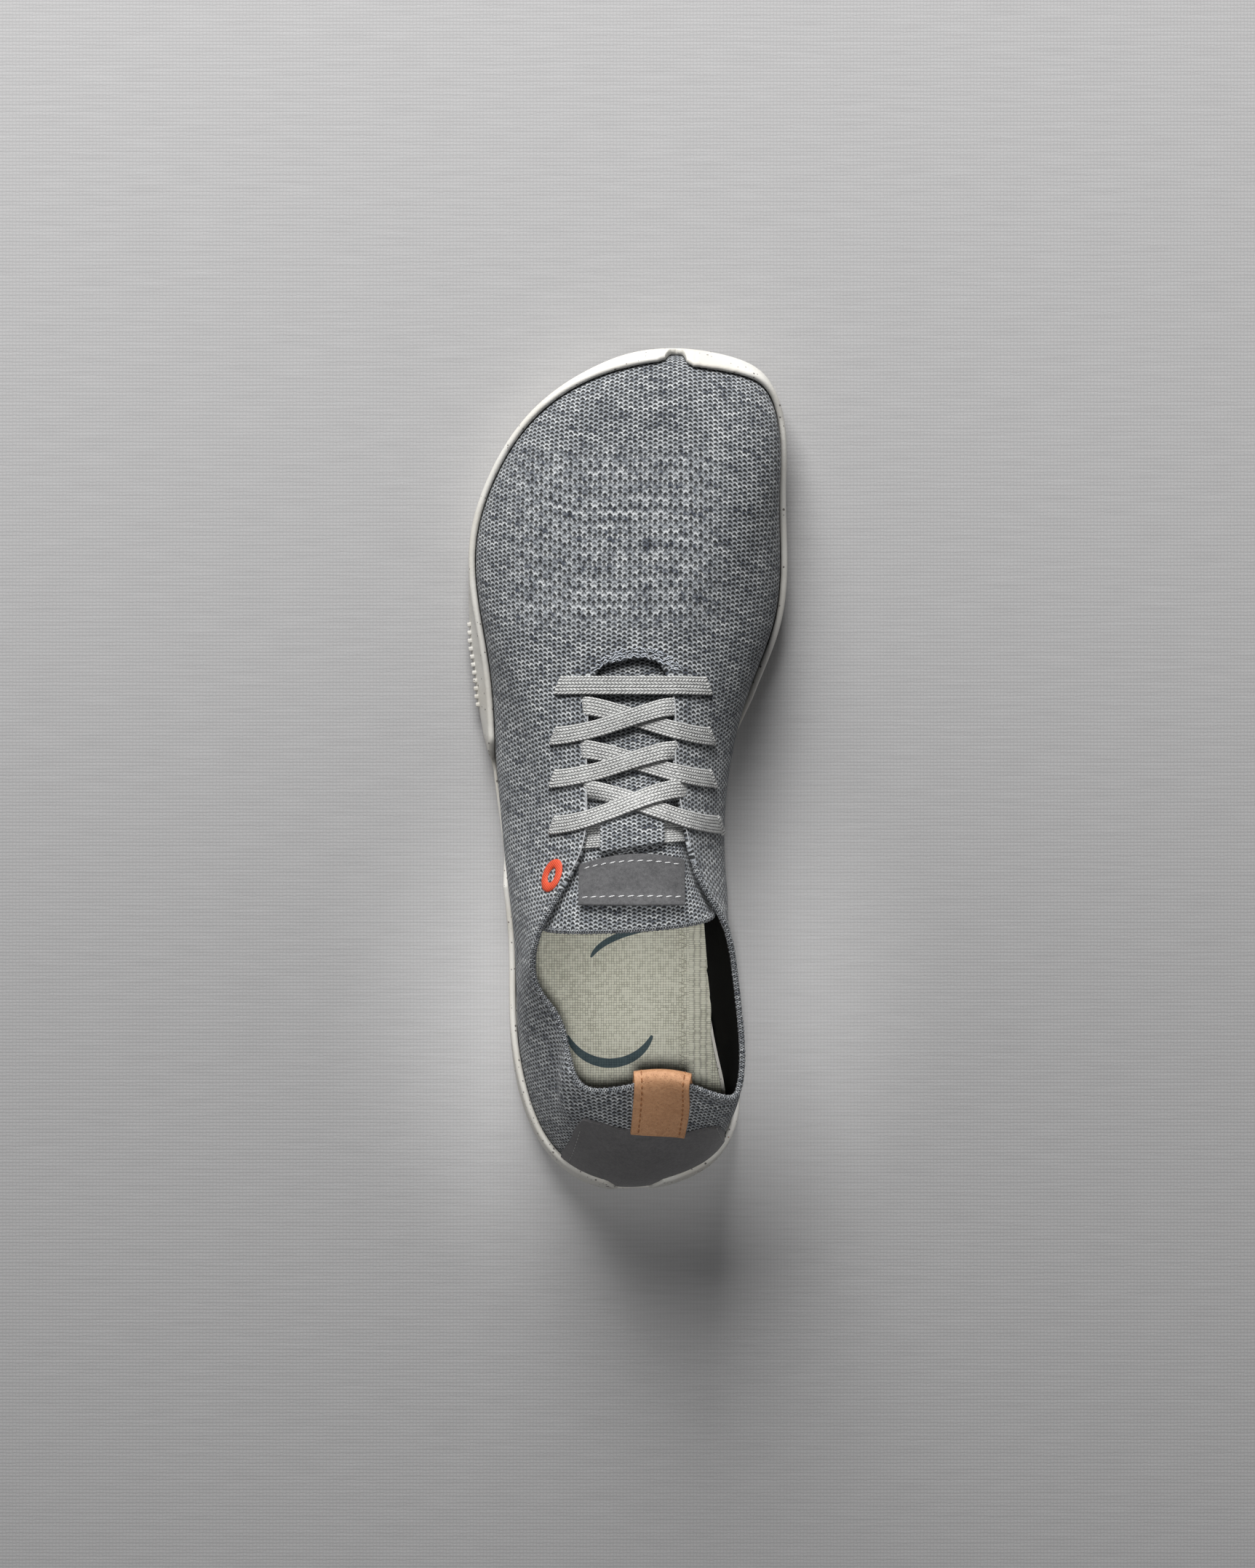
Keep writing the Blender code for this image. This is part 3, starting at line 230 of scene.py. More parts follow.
@dataclass
class Last:
    """The last that the upper and the sole are laid on.

    Turns run round the sole from the toe's notch by the little toe, the heel and the arch, and
    shares climb each wall section from the sole to the opening.
    """

    length: float = 0.276
    ball: float = 0.104
    toe_height: float = 0.026
    instep: float = 0.067
    heel: float = 0.0675
    wall_depth_least: float = 0.014
    seat_gap: float = 0.0003
    sole_thickness: float = 0.004
    edge_round: float = 0.0014
    rim_wall: float = 0.0021
    rim_height: float = 0.0085
    rim_lip: float = 0.0005
    toe_spring: float = 0.006
    heel_lift: float = 0.0012
    arch_lift: float = 0.0012
    curve_steps: int = 48
    edge: ClosedSpline = field(init=False)
    mouth: ClosedSpline = field(init=False)
    sections: ClosedSpline = field(init=False)

    def __post_init__(self) -> None:
        """Lays the splines through the tables."""
        points = np.array([(across * self.ball, along * self.length) for along, across in OUTLINE])
        lengths = np.linalg.norm(np.roll(points, -1, axis=0) - points, axis=1)
        turns = np.concatenate([[0.0], np.cumsum(lengths)[:-1]]) / lengths.sum()
        self.edge = ClosedSpline(turns, points)
        table = np.array(OPENING)
        self.mouth = ClosedSpline(table[:, 0], table[:, [2, 1, 3]])
        table = np.array(SECTIONS, float)
        self.sections = ClosedSpline(table[:, 0], table[:, 1:])

    def home(self, points: Array) -> Array:
        """Points laid out from the heel's back, in the frame."""
        moved = np.array(points, float)
        moved[..., 0] += HEEL_TO_FRAME[0]
        moved[..., 1] += HEEL_TO_FRAME[1]
        return moved

    def outline(self, turns: Array) -> tuple[Array, Array]:
        """The sole's outer edge seen from above.

        Args:
            turns: where round the sole.

        Returns:
            Points laid out from the heel's back, and the directions that point away.
        """
        tangent = unit(self.edge(turns + 1e-4) - self.edge(turns - 1e-4))
        return self.edge(turns), np.stack([tangent[:, 1], -tangent[:, 0]], axis=1)

    def ground(self, along: Array) -> Array:
        """Height of the sole's underside over the floor, along from the heel's back."""
        share = np.asarray(along, float) / self.length
        toe = np.clip((share - 0.76) / 0.24, 0.0, None) ** 2 * self.toe_spring
        heel = np.clip((0.08 - share) / 0.08, 0.0, None) ** 2 * self.heel_lift
        arch = smooth_step(0.26, 0.4, share) * smooth_step(0.6, 0.48, share) * self.arch_lift
        return toe + heel + arch

    def floor_ring(self, border: Array, share: float, lift: float) -> Array:
        """A ring shrunk from a border towards the sole's middle, lifted over the ground."""
        middle = np.array([-0.03 * self.ball, 0.5 * self.length])
        flat = middle + (border - middle) * share
        return np.column_stack([flat, self.ground(flat[:, 1]) + lift])

    def feather(self, turns: Array) -> tuple[Array, Array]:
        """The line where the upper meets the sole's top, and the directions away from it."""
        points, away = self.outline(turns)
        inner = points - away * (self.rim_wall + self.seat_gap)
        height = self.ground(inner[:, 1]) + self.sole_thickness + self.seat_gap
        return np.column_stack([inner, height]), away

    def opening(self, turns: Array) -> Array:
        """The edge of the throat and collar, laid out from the heel's back."""
        across, along, height = self.mouth(turns).T
        front = smooth_step(0.16, 0.34, along)
        reference = self.instep * front + self.heel * (1 - front)
        return np.column_stack([across * self.ball, along * self.length, height * reference])

    def wall_curves(self, turns: Array) -> Array:
        """Each wall section as points from the sole to the opening."""
        foot, away = self.feather(turns)
        top = self.opening(turns)
        lean, stand, slope, reach = self.sections(turns).T
        lean, slope = np.radians(lean), np.radians(slope)
        chord = np.linalg.norm(top - foot, axis=1)
        outwards = unit((foot - top)[:, :2] + away * self.wall_depth_least)
        rising = np.column_stack([-away * np.sin(lean)[:, None], np.cos(lean)])
        falling = np.column_stack([outwards * np.cos(slope)[:, None], -np.sin(slope)])
        low = foot + rising * (stand * self.toe_height)[:, None]
        high = top + falling * (reach * chord)[:, None]
        t = np.linspace(0, 1, self.curve_steps)[:, None, None]
        return np.swapaxes(arch_between(foot, low, high, top, t), 0, 1)

    def wall(
        self, turns: Array, shares: Array, out: float | Array = 0.0
    ) -> Array:
        """Points of the upper's outer face in the frame.

        Args:
            turns: where round the sole.
            shares: how far up, one list for all turns or one list for each.
            out: how far to move out along the face's normal, one value or one for each point.

        Returns:
            An array of turns by shares by three.
        """
        turns = np.atleast_1d(np.asarray(turns, float))
        shares = np.broadcast_to(np.asarray(shares, float), (len(turns), np.shape(shares)[-1]))

        def face(by_turn: float, by_share: float) -> Array:
            """The face's points with turns and shares moved a little."""
            at = np.clip(shares + by_share, 0.0, 1.0)
            curves = self.wall_curves(turns + by_turn)
            return np.array([spread(c, s) for c, s in zip(curves, at)])

        across = face(1.5e-3, 0.0) - face(-1.5e-3, 0.0)
        upward = face(0.0, 4e-3) - face(0.0, -4e-3)
        normal = unit(np.cross(across, upward))
        return self.home(face(0.0, 0.0) + normal * np.asarray(out)[..., None])

    def share_at_height(self, turns: Array, above_sole: Array) -> Array:
        """The share of each section at which it has climbed that far over the sole's top."""
        found = []
        climbs = np.broadcast_to(above_sole, np.shape(turns))
        for curve, climb in zip(self.wall_curves(turns), climbs):
            run = run_along(curve)
            found.append(np.interp(climb, curve[:, 2] - curve[0, 2], run) / run[-1])
        return np.array(found)

    def rim(self, turns: Array) -> tuple[Array, Array]:
        """The rim's height over the sole's top, and how far the sole's edge stands out."""
        table = np.array(RIM)
        at = np.mod(np.asarray(turns, float) - table[0, 0], 1.0) + table[0, 0]
        height = self.rim_lip + self.rim_height * np.interp(at, table[:, 0], table[:, 1])
        return height, self.rim_wall * np.interp(at, table[:, 0], table[:, 2])

    def turn_at(self, along: float, side: Side) -> float:
        """The turn at which the throat's edge stands that far along, on one side."""
        low, high = (0.085, 0.345) if side is Side.LATERAL else (0.69, 0.915)
        rising = self.opening([high])[0][1] > self.opening([low])[0][1]
        for _ in range(40):
            middle = (low + high) / 2
            if (self.opening([middle])[0][1] > along) == rising:
                high = middle
            else:
                low = middle
        return (low + high) / 2

    def throat_edge(self, along: float, side: Side) -> Array:
        """The point of the throat's edge that far along, laid out from the heel's back."""
        return self.opening([self.turn_at(along, side)])[0]


def pick(piece: Piece) -> None:
    """Selects one object alone and makes it active."""
    clear()
    piece.select_set(True)
    bpy.context.view_layer.objects.active = piece


def clear() -> None:
    """Deselects everything."""
    if bpy.context.mode != "OBJECT":
        bpy.ops.object.mode_set(mode="OBJECT")
    bpy.ops.object.select_all(action="DESELECT")


def sheet(
    name: str, points: Array, lay: Optional[Array] = None, closed: bool = False
) -> Piece:
    """A grid primitive drawn out over points.

    Args:
        name: the object's name.
        points: rows by columns by three.
        lay: the pattern's coordinates for each point, rows by columns by two, in metres.
        closed: merges edges that meet and turns the faces outwards.

    Returns:
        The object, at the origin.
    """
    rows, columns = points.shape[:2]
    clear()
    bpy.ops.mesh.primitive_grid_add(
        x_subdivisions=columns - 1, y_subdivisions=rows - 1, size=1.0, calc_uvs=True
    )
    piece = bpy.context.object
    piece.name = name
    mesh = piece.data
    mesh.name = name
    mesh.vertices.foreach_set("co", np.asarray(points, np.float32).reshape(-1))
    if lay is not None:
        corners = np.zeros(len(mesh.loops), np.int32)
        mesh.loops.foreach_get("vertex_index", corners)
        laid = np.asarray(lay, np.float32).reshape(-1, 2)[corners]
        mesh.uv_layers[0].data.foreach_set("uv", laid.reshape(-1))
    mesh.uv_layers[0].name = "lay"
    mesh.update()
    if closed:
        weld(piece)
    smooth(piece)
    return piece


def weld(piece: Piece) -> None:
    """Merges points that coincide and turns the faces outwards."""
    pick(piece)
    bpy.ops.object.mode_set(mode="EDIT")
    bpy.ops.mesh.select_all(action="SELECT")
    bpy.ops.mesh.remove_doubles(threshold=2e-6)
    bpy.ops.mesh.normals_make_consistent(inside=False)
    bpy.ops.object.mode_set(mode="OBJECT")


def smooth(piece: Piece, degrees: float = 40.0) -> None:
    """Shades the piece smooth up to an angle."""
    pick(piece)
    bpy.ops.object.shade_smooth_by_angle(angle=math.radians(degrees))


def apply(piece: Piece, kind: str, **settings: object) -> None:
    """Adds a modifier with its settings and applies it."""
    pick(piece)
    change = piece.modifiers.new(kind.lower(), kind)
    for name, value in settings.items():
        setattr(change, name, value)
    bpy.ops.object.modifier_apply(modifier=change.name)


def thicken(piece: Piece, thickness: float, rounding: float) -> None:
    """Gives a sheet its thickness away from its face, and rounds its edges.

    Args:
        piece: the sheet.
        thickness: how thick it gets, behind its face.
        rounding: radius of its rounded edges.
    """
    apply(piece, "SOLIDIFY", thickness=thickness, offset=-1.0, use_even_offset=True)
    if rounding > 0:
        limit = {"limit_method": "ANGLE", "angle_limit": math.radians(50)}
        apply(piece, "BEVEL", width=rounding, segments=2, **limit)
    smooth(piece)


def turn_to(piece: Piece, way: Sequence[float] = (0, 0, 1), number: int = 0) -> None:
    """Turns a sheet's faces over unless the numbered one looks that way."""
    if piece.data.polygons[number].normal.dot(Vector(way)) < 0:
        piece.data.flip_normals()


def combine(piece: Piece, operation: str, parts: Sequence[Piece]) -> None:
    """Cuts parts out of a piece, or sets them on it, and removes them."""
    tool = join("tool", parts)
    apply(piece, "BOOLEAN", operation=operation, solver="EXACT", object=tool)
    bpy.data.objects.remove(tool)


def join(name: str, parts: Sequence[Piece]) -> Piece:
    """Joins objects into one, each still a body of its own."""
    clear()
    for part in parts:
        part.select_set(True)
    bpy.context.view_layer.objects.active = parts[0]
    bpy.ops.object.join()
    parts[0].name = name
    parts[0].data.name = name
    return parts[0]


def block(
    centre: Array, size: Sequence[float], axes: Sequence[Array]
) -> Piece:
    """A cube with the given full sizes along three axes, its place in its mesh."""
    clear()
    bpy.ops.mesh.primitive_cube_add(size=1.0)
    piece = bpy.context.object
    turned = Matrix([np.asarray(axis) * length for axis, length in zip(axes, size)])
    piece.data.transform(Matrix.Translation(Vector(centre)) @ turned.transposed().to_4x4())
    return piece


def settle(
    piece: Piece,
    finish: Material,
    nodes: Sequence[str] = (),
) -> Piece:
    """Dresses a piece and sets it on the shoe.

    Args:
        piece: the finished piece.
        finish: its material, unless it wears some already.
        nodes: the solids that it stands for.

    Returns:
        The piece.
    """
    if not piece.data.materials:
        piece.data.materials.append(finish)
    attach(piece, BODY)
    if nodes:
        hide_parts(*nodes)
    faces = sum(len(face.vertices) - 2 for face in piece.data.polygons)
    LOG.info("%s: %d triangles", piece.name, faces)
    return piece


class Skin:
    """The faces of some pieces, to lay others on."""

    def __init__(self, pieces: Sequence[Piece]) -> None:
        """Gathers the faces of pieces that stand at the origin."""
        points: list[Vector] = []
        faces: list[list[int]] = []
        for piece in pieces:
            first = len(points)
            points += [v.co.copy() for v in piece.data.vertices]
            faces += [[first + i for i in p.vertices] for p in piece.data.polygons]
        self.tree = BVHTree.FromPolygons(points, faces)

    def laid(self, across: float, down: float, level: float, lift: float) -> Array:
        """The point lifted off the skin where a pixel's ray meets a level."""
        x, y = Camera.plan(across, down, level)
        return np.array([x, y, (self.height(x, y) or level) + lift])

    def height(self, x: float, y: float) -> Optional[float]:
        """Height of the first face found straight down, or None."""
        hit = self.tree.ray_cast(Vector((x, y, 1.0)), Vector((0, 0, -1)))[0]
        return None if hit is None else hit.z

    def under_pixel(self, across: float, down: float) -> Optional[tuple[Array, Array]]:
        """The point that the camera sees at a pixel and its normal, or None off the skin."""
        eye = Vector(Camera.PLACE)
        way = Vector(Camera.ray(across, down))
        hit, normal, _, _ = self.tree.ray_cast(eye, way)
        if hit is None:
            return None
        facing = np.array(normal) * (-1.0 if normal.dot(way) > 0 else 1.0)
        return np.array(hit), facing


class Camera:
    """The camera, straight above the shoe as in the photograph."""

    PLACE = (0.0002, -0.0048, 1.3)
    FOCAL = 5422.0
    FRAME = (1725.0, 2156.0)
    FILM = 36.0

    @classmethod
    def ray(cls, across: float, down: float) -> Triple:
        """The direction in which the camera looks through a pixel."""
        side = (across - cls.FRAME[0] / 2) / cls.FOCAL
        return (side, -(down - cls.FRAME[1] / 2) / cls.FOCAL, -1.0)

    @classmethod
    def plan(cls, across: float, down: float, height: float) -> Pair:
        """Where a pixel lies in plan at a height."""
        ray = cls.ray(across, down)
        reach = cls.PLACE[2] - height
        return cls.PLACE[0] + ray[0] * reach, cls.PLACE[1] + ray[1] * reach

    def build(self) -> None:
        """Adds the camera and makes it the scene's."""
        clear()
        bpy.ops.object.camera_add(location=self.PLACE, rotation=(0.0, 0.0, 0.0))
        camera = bpy.context.object
        camera.name = "camera"
        camera.data.sensor_width = self.FILM
        camera.data.lens = self.FOCAL * self.FILM / self.FRAME[1]
        camera.data.clip_start = 0.05
        camera.data.clip_end = 30.0
        bpy.context.scene.camera = camera


def operator(name: str, turned: bool = False) -> Callable[..., Value]:
    """A method that adds a math node; turned puts the other value first."""

    def method(self: Value, *others: object) -> Value:
        """The node's result."""
        values = (*others, self) if turned else (self, *others)
        return self.graph.math(name, *values)

    return method


class Value:
    """What a socket carries, open to ordinary arithmetic."""

    __add__ = __radd__ = operator("ADD")
    __mul__ = __rmul__ = operator("MULTIPLY")
    __sub__, __rsub__ = operator("SUBTRACT"), operator("SUBTRACT", True)
    __truediv__, __mod__ = operator("DIVIDE"), operator("FLOORED_MODULO")
    __abs__, __floor__ = operator("ABSOLUTE"), operator("FLOOR")
    __gt__, __lt__ = operator("GREATER_THAN"), operator("LESS_THAN")

    def __init__(self, graph: Graph, socket: bpy.types.NodeSocket) -> None:
        """Takes the socket and the graph that it stands in."""
        self.graph, self.socket = graph, socket


class Graph:
    """Lays out the nodes of one material or node group."""

    def __init__(self, tree: bpy.types.NodeTree) -> None:
        """Takes the tree to work in."""
        self.tree = tree

    def put(self, socket: bpy.types.NodeSocket, value: object) -> None:
        """Links a socket to another, or sets its value."""
        if isinstance(value, Value):
            self.tree.links.new(value.socket, socket)
        else:
            socket.default_value = value

    def node(self, kind: str, inputs: Optional[dict] = None, **settings: object) -> dict:
        """Adds a node.

        Args:
            kind: its type.
            inputs: values by the name or number of its inputs.
            settings: its own properties.

        Returns:
            Its outputs by name and by number.
        """
        made = self.tree.nodes.new(kind)
        for name, value in settings.items():
            setattr(made, name, value)
        for name, value in (inputs or {}).items():
            self.put(made.inputs[name], value)
        found = {number: Value(self, socket) for number, socket in enumerate(made.outputs)}
        return found | {socket.name: Value(self, socket) for socket in made.outputs}

    def math(self, operation: str, *values: object) -> Value:
        """The result of a math node."""
        return self.node("ShaderNodeMath", dict(enumerate(values)), operation=operation)[0]

    def fract(self, value: Value) -> Value:
        """A value without its whole part."""
        return self.math("FRACT", value)

    def climb(self, value: object, low: float, high: float) -> Value:
        """0 at low and 1 at high, smoothly; low may be the greater."""
        if low > high:
            return 1.0 - self.climb(value, high, low)
        inputs = {0: value, 1: low, 2: high, 3: 0.0, 4: 1.0}
        return self.node("ShaderNodeMapRange", inputs, interpolation_type="SMOOTHSTEP")[0]

    def mix(self, share: object, first: object, second: object) -> Value:
        """A colour between two."""
        colours = [(*c, 1.0) if isinstance(c, tuple) else c for c in (first, second)]
        inputs = {0: share, 6: colours[0], 7: colours[1]}
        return self.node("ShaderNodeMix", inputs, data_type="RGBA")[2]

    def shade(self, colour: object, value: object) -> Value:
        """A colour made darker or lighter by a value."""
        grey = self.node("ShaderNodeCombineColor", {0: value, 1: value, 2: value})[0]
        inputs = {0: 1.0, 6: colour, 7: grey}
        return self.node("ShaderNodeMix", inputs, data_type="RGBA", blend_type="MULTIPLY")[2]

    def vector(self, x: object, y: object, z: object = 0.0) -> Value:
        """A vector from three values."""
        return self.node("ShaderNodeCombineXYZ", {0: x, 1: y, 2: z})[0]

    def parts(self, vector: object) -> list[Value]:
        """The three values of a vector."""
        found = self.node("ShaderNodeSeparateXYZ", {0: vector})
        return [found[0], found[1], found[2]]

    def noise(self, vector: object, scale: float, detail: float, rough: float = 0.5) -> Value:
        """Noise from 0 to 1."""
        inputs = {"Vector": vector, "Scale": scale, "Detail": detail, "Roughness": rough}
        return self.node("ShaderNodeTexNoise", inputs)[0]

    def chance(self, vector: object) -> Value:
        """An even random value for each vector."""
        return self.node("ShaderNodeTexWhiteNoise", {0: vector}, noise_dimensions="3D")[0]

    def cells(self, vector: object, scale: float) -> dict:
        """The distance from the nearest of scattered points, and its random colour."""
        return self.node("ShaderNodeTexVoronoi", {"Vector": vector, "Scale": scale})

    def scaled(self, vector: object, scale: Sequence[float]) -> Value:
        """A vector stretched along its axes."""
        return self.node("ShaderNodeMapping", {"Vector": vector, "Scale": tuple(scale)})[0]

    def lay(self) -> Value:
        """The piece's own pattern coordinates."""
        return self.node("ShaderNodeUVMap", uv_map="lay")[0]

    def place(self) -> Value:
        """Object coordinates."""
        return self.node("ShaderNodeTexCoord")["Object"]

    def bump(self, height: object, distance: float, strength: float) -> Value:
        """A normal from a height that rises to a distance, in metres."""
        inputs = {"Strength": strength, "Distance": distance, "Height": height}
        return self.node("ShaderNodeBump", inputs)[0]

    def dress(self, colour: Value, normal: Value, roughness: object, **more: float) -> None:
        """Sets the Principled shader.

        Args:
            colour: its base colour.
            normal: its normal.
            roughness: its roughness.
            more: sheen and sheen_roughness, or specular, where they are wanted.
        """
        inputs = self.tree.nodes["Principled BSDF"].inputs
        sockets = {
            "sheen": "Sheen Weight",
            "sheen_roughness": "Sheen Roughness",
            "specular": "Specular IOR Level",
        }
        self.put(inputs["Base Color"], colour)
        self.put(inputs["Normal"], normal)
        self.put(inputs["Roughness"], roughness)
        for name, value in more.items():
            self.put(inputs[sockets[name]], value)


class Effect:
    """Node groups that several finishes share, each built once."""

    _built: dict[str, bpy.types.NodeTree] = {}

    @classmethod
    def use(cls, g: Graph, name: str, vector: Value, **values: object) -> dict:
        """Places a group in a graph, building it when it is first used.

        Args:
            g: the graph.
            name: knit, weave or nap.
            vector: coordinates in metres.
            values: its other inputs, by name.

        Returns:
            Its outputs by name.
        """
        if name not in cls._built:
            cls._built[name] = cls._group(name, tuple(values), getattr(cls, name))
        inputs = {"Vector": vector} | values
        return g.node("ShaderNodeGroup", inputs, node_tree=cls._built[name])

    @staticmethod
    def _group(name: str, inputs: Sequence[str], fill: Callable) -> bpy.types.NodeTree:
        """Builds a group.

        Args:
            name: its name.
            inputs: the names of its values, beside its vector.
            fill: lays out the nodes and returns each output's value.

        Returns:
            The group.
        """
        tree = bpy.data.node_groups.new(name, "ShaderNodeTree")
        tree.interface.new_socket("Vector", in_out="INPUT", socket_type="NodeSocketVector")
        for label in inputs:
            tree.interface.new_socket(label, in_out="INPUT", socket_type="NodeSocketFloat")
        graph = Graph(tree)
        filled = fill(graph, graph.node("NodeGroupInput"))
        for label in filled:
            tree.interface.new_socket(label, in_out="OUTPUT", socket_type="NodeSocketFloat")
        graph.node("NodeGroupOutput", filled)
        return tree

    @staticmethod
    def knit(g: Graph, given: dict) -> dict:
        """Plain knit: rows of chevrons with small holes, ribbed where asked."""
        vector = given["Vector"]
        x, y, _ = g.parts(vector)
        drift = g.noise(vector, 260.0, 2.0) - 0.5
        slow = g.noise(vector, 60.0, 1.0) - 0.5
        u = x / given["Wale"] + drift * 0.3
        v = y / given["Course"] + drift * -0.3 + slow * 0.5
        column = math.floor(u)
        odd = column % 2.0
        beside = g.fract(u) - 0.5
        away = abs(beside) * 2.0
        risen = odd * 0.5 + (v + away * given["Slope"])
        row, over = math.floor(risen), g.fract(risen)
        under = (1.0 - over) / (away * -0.42 + 0.6)
        hole = g.math("MAXIMUM", g.climb(under, 1.25, 0.65), g.climb(over, 0.16, 0.02))
        hole = hole * (g.climb(away, 0.5, 1.0) * -0.5 + 1.0)
        even = (column + math.floor((row - odd) / 1.5)) % 2.0
        level = abs(g.fract((risen - odd) / 1.5) - 0.5)
        slim = g.climb(away, 0.6, 0.26) * g.climb(level, 0.46, 0.3)
        weak = even * given["Ribbed"] * -0.55 + 1.0
        dash = slim * (1.0 - even) * given["Ribbed"]
        hole = g.math("MAXIMUM", hole * weak, dash * 0.72)
        bright = g.climb(abs(over - 0.4), 0.5, 0.12)
        height = (bright * 0.3 + 0.7) * (1.0 - hole)
        stitch = g.chance(g.vector((beside > 0.0) * 0.37 + column, row, 0.31))
        rank = row * 0.83
        band = g.noise(g.vector(x * 50.0, rank, 0.0), 1.0, 1.0)
        fine = g.noise(g.vector(x * 230.0, rank, 4.0), 1.0, 1.0)
        band = fine * 0.55 + band * 0.45
        fibre = g.noise(g.vector((u + risen * 0.4) * 2.2, risen * 7.0), 1.0, 2.0, 0.6)
        return {"Height": height, "Hole": hole, "Stitch": stitch, "Band": band, "Fibre": fibre}

    @staticmethod
    def weave(g: Graph, given: dict) -> dict:
        """Plain weave: threads over and under."""
        vector = given["Vector"]
        x, y, _ = g.parts(vector)
        drift = (g.noise(vector, 400.0, 1.0) - 0.5) * 0.4
        u, v = x / given["Pitch"] + drift, y / given["Pitch"] + drift
        column, row = math.floor(u), math.floor(v)
        over = (column + row) % 2.0
        across, along = (g.math("SINE", g.fract(way) * math.pi) for way in (u, v))
        warp = g.math("POWER", across, 0.6) * (along * 0.5 + 0.5)
        weft = g.math("POWER", along, 0.6) * (across * 0.5 + 0.5)
        height = g.node("ShaderNodeMix", {0: over, 2: warp, 3: weft})[0]
        return {"Height": height, "Thread": g.chance(g.vector(column, row, over))}

    @staticmethod
    def nap(g: Graph, given: dict) -> dict:
        """Short nap or grain: a fine height and a slow change of tone."""
        vector = given["Vector"]
        coarse = g.noise(vector, 900.0, 4.0, 0.65)
        fine = g.noise(vector, 3800.0, 2.0, 0.6)
        tone = g.noise(vector, 160.0, 3.0) * 0.2 + coarse * 0.4 + fine * 0.4
        return {"Height": fine * 0.4 + coarse * 0.6, "Tone": tone}


@dataclass(frozen=True)
class Finish:
    """A procedural material."""

    name: str

    def paint(self, g: Graph) -> None:
        """Lays out the material's nodes."""

    def build(self) -> Material:
        """The material."""
        made = bpy.data.materials.new(self.name)
        made.use_nodes = True
        self.paint(Graph(made.node_tree))
        return made


@dataclass(frozen=True)
class KnitFinish(Finish):
    """Melange yarn in plain knit, laid by the piece's own coordinates, with painted shade in its
    holes and a painted highlight on its stitches' crowns.
    """

    wale: float = 0.00166
    course: float = 0.00148
    slope: float = 0.5
    ribbed_along: Optional[Pair] = None
    dark: Colour = (0.045, 0.052, 0.068)
    mean: Colour = (0.222, 0.235, 0.249)
    light: Colour = (0.42, 0.432, 0.44)

    def paint(self, g: Graph) -> None:
        """Lays out its nodes."""
        ribbed = 0.0
        if self.ribbed_along:
            centre, reach = self.ribbed_along
            across, along, _ = g.parts(g.place())
            aside = g.climb(abs(across + 0.004), 0.04, 0.026)
            ribbed = g.climb(abs(along - centre), reach * 1.4, reach) * aside
        sizes = {"Wale": self.wale, "Course": self.course, "Slope": self.slope}
        knit = Effect.use(g, "knit", g.lay(), **sizes, Ribbed=ribbed)
        tone = (knit["Stitch"] - 0.5) * 0.5 + 0.56 + (knit["Band"] - 0.5) * 2.3
        tone = tone + (knit["Fibre"] - 0.5) * 0.8
        low = g.mix(g.climb(tone, 0.0, 0.5), self.dark, self.mean)
        colour = g.mix(g.climb(tone, 0.45, 1.05), low, self.light)
        # Painted shade and highlight: depth darkens the yarn in the knit's holes and low parts and
        # lightens it on the stitches' crowns.
        depth = (knit["Height"] * 0.75 + 0.55) * (knit["Hole"] * -0.95 + 1.1)
        rise = knit["Fibre"] * 0.22 + knit["Height"] * 0.8
        normal = g.bump(rise, 0.00055, 1.0)
        g.dress(g.shade(colour, depth), normal, 0.92, sheen=0.1, sheen_roughness=0.5)


@dataclass(frozen=True)
class LiningFinish(Finish):
    """The upper's dark fleecy inside."""

    name: str = "lining"
    dark: Colour = (0.0016, 0.0016, 0.0022)
    light: Colour = (0.005, 0.005, 0.0062)

    def paint(self, g: Graph) -> None:
        """Lays out its nodes."""
        nap = Effect.use(g, "nap", g.place())
        colour = g.mix(nap["Tone"], self.dark, self.light)
        g.dress(colour, g.bump(nap["Height"], 0.0004, 0.8), 0.95, specular=0.08)


@dataclass(frozen=True)
class RubberFinish(Finish):
    """Ivory rubber with cork crumbs, more of them towards the heel."""

    name: str = "sole_rubber"
    light: Colour = (0.73, 0.712, 0.665)
    dull: Colour = (0.64, 0.61, 0.545)
    crumb: Colour = (0.055, 0.04, 0.034)
    cork: Colour = (0.3, 0.16, 0.09)
    heel: float = -0.135
    toe: float = 0.06

    @staticmethod
    def crumbs(g: Graph, place: Value, scale: float, least: object, size: float) -> Value:
        """A mask of crumbs.

        Args:
            g: the material's graph.
            place: Object coordinates.
            scale: cells to a metre.
            least: the share of cells that stay bare.
            size: a crumb's radius as a share of a cell.

        Returns:
            The mask.
        """
        cell = g.cells(place, scale)
        pick = g.parts(cell["Color"])
        away = cell["Distance"] + (g.noise(place, 900.0, 2.0) - 0.5) * 0.35
        return (away < pick[1] * size + size * 0.25) * (pick[0] > least)

    def paint(self, g: Graph) -> None:
        """Lays out its nodes."""
        place = g.place()
        back = g.node("ShaderNodeMapRange", {0: g.parts(place)[1], 1: self.toe, 2: self.heel})[0]
        fine = self.crumbs(g, place, 800.0, back * -0.34 + 0.86, 0.26)
        large = self.crumbs(g, place, 330.0, back * -0.2 + 0.985, 0.17)
        drift = g.noise(place, 60.0, 3.0)
        colour = g.mix(g.climb(drift, 0.35, 0.75), self.light, self.dull)
        colour = g.mix(fine * 0.8, colour, self.crumb)
        tint = g.mix(g.climb(g.noise(place, 240.0, 0.0), 0.42, 0.55), self.crumb, self.cork)
        height = g.noise(place, 1400.0, 3.0, 0.6) * 0.25 + g.noise(place, 170.0, 2.0) * 0.75
        normal = g.bump(height - large * 0.25, 0.00035, 0.8)
        g.dress(g.mix(large, colour, tint), normal, drift * 0.2 + 0.42, specular=0.4)


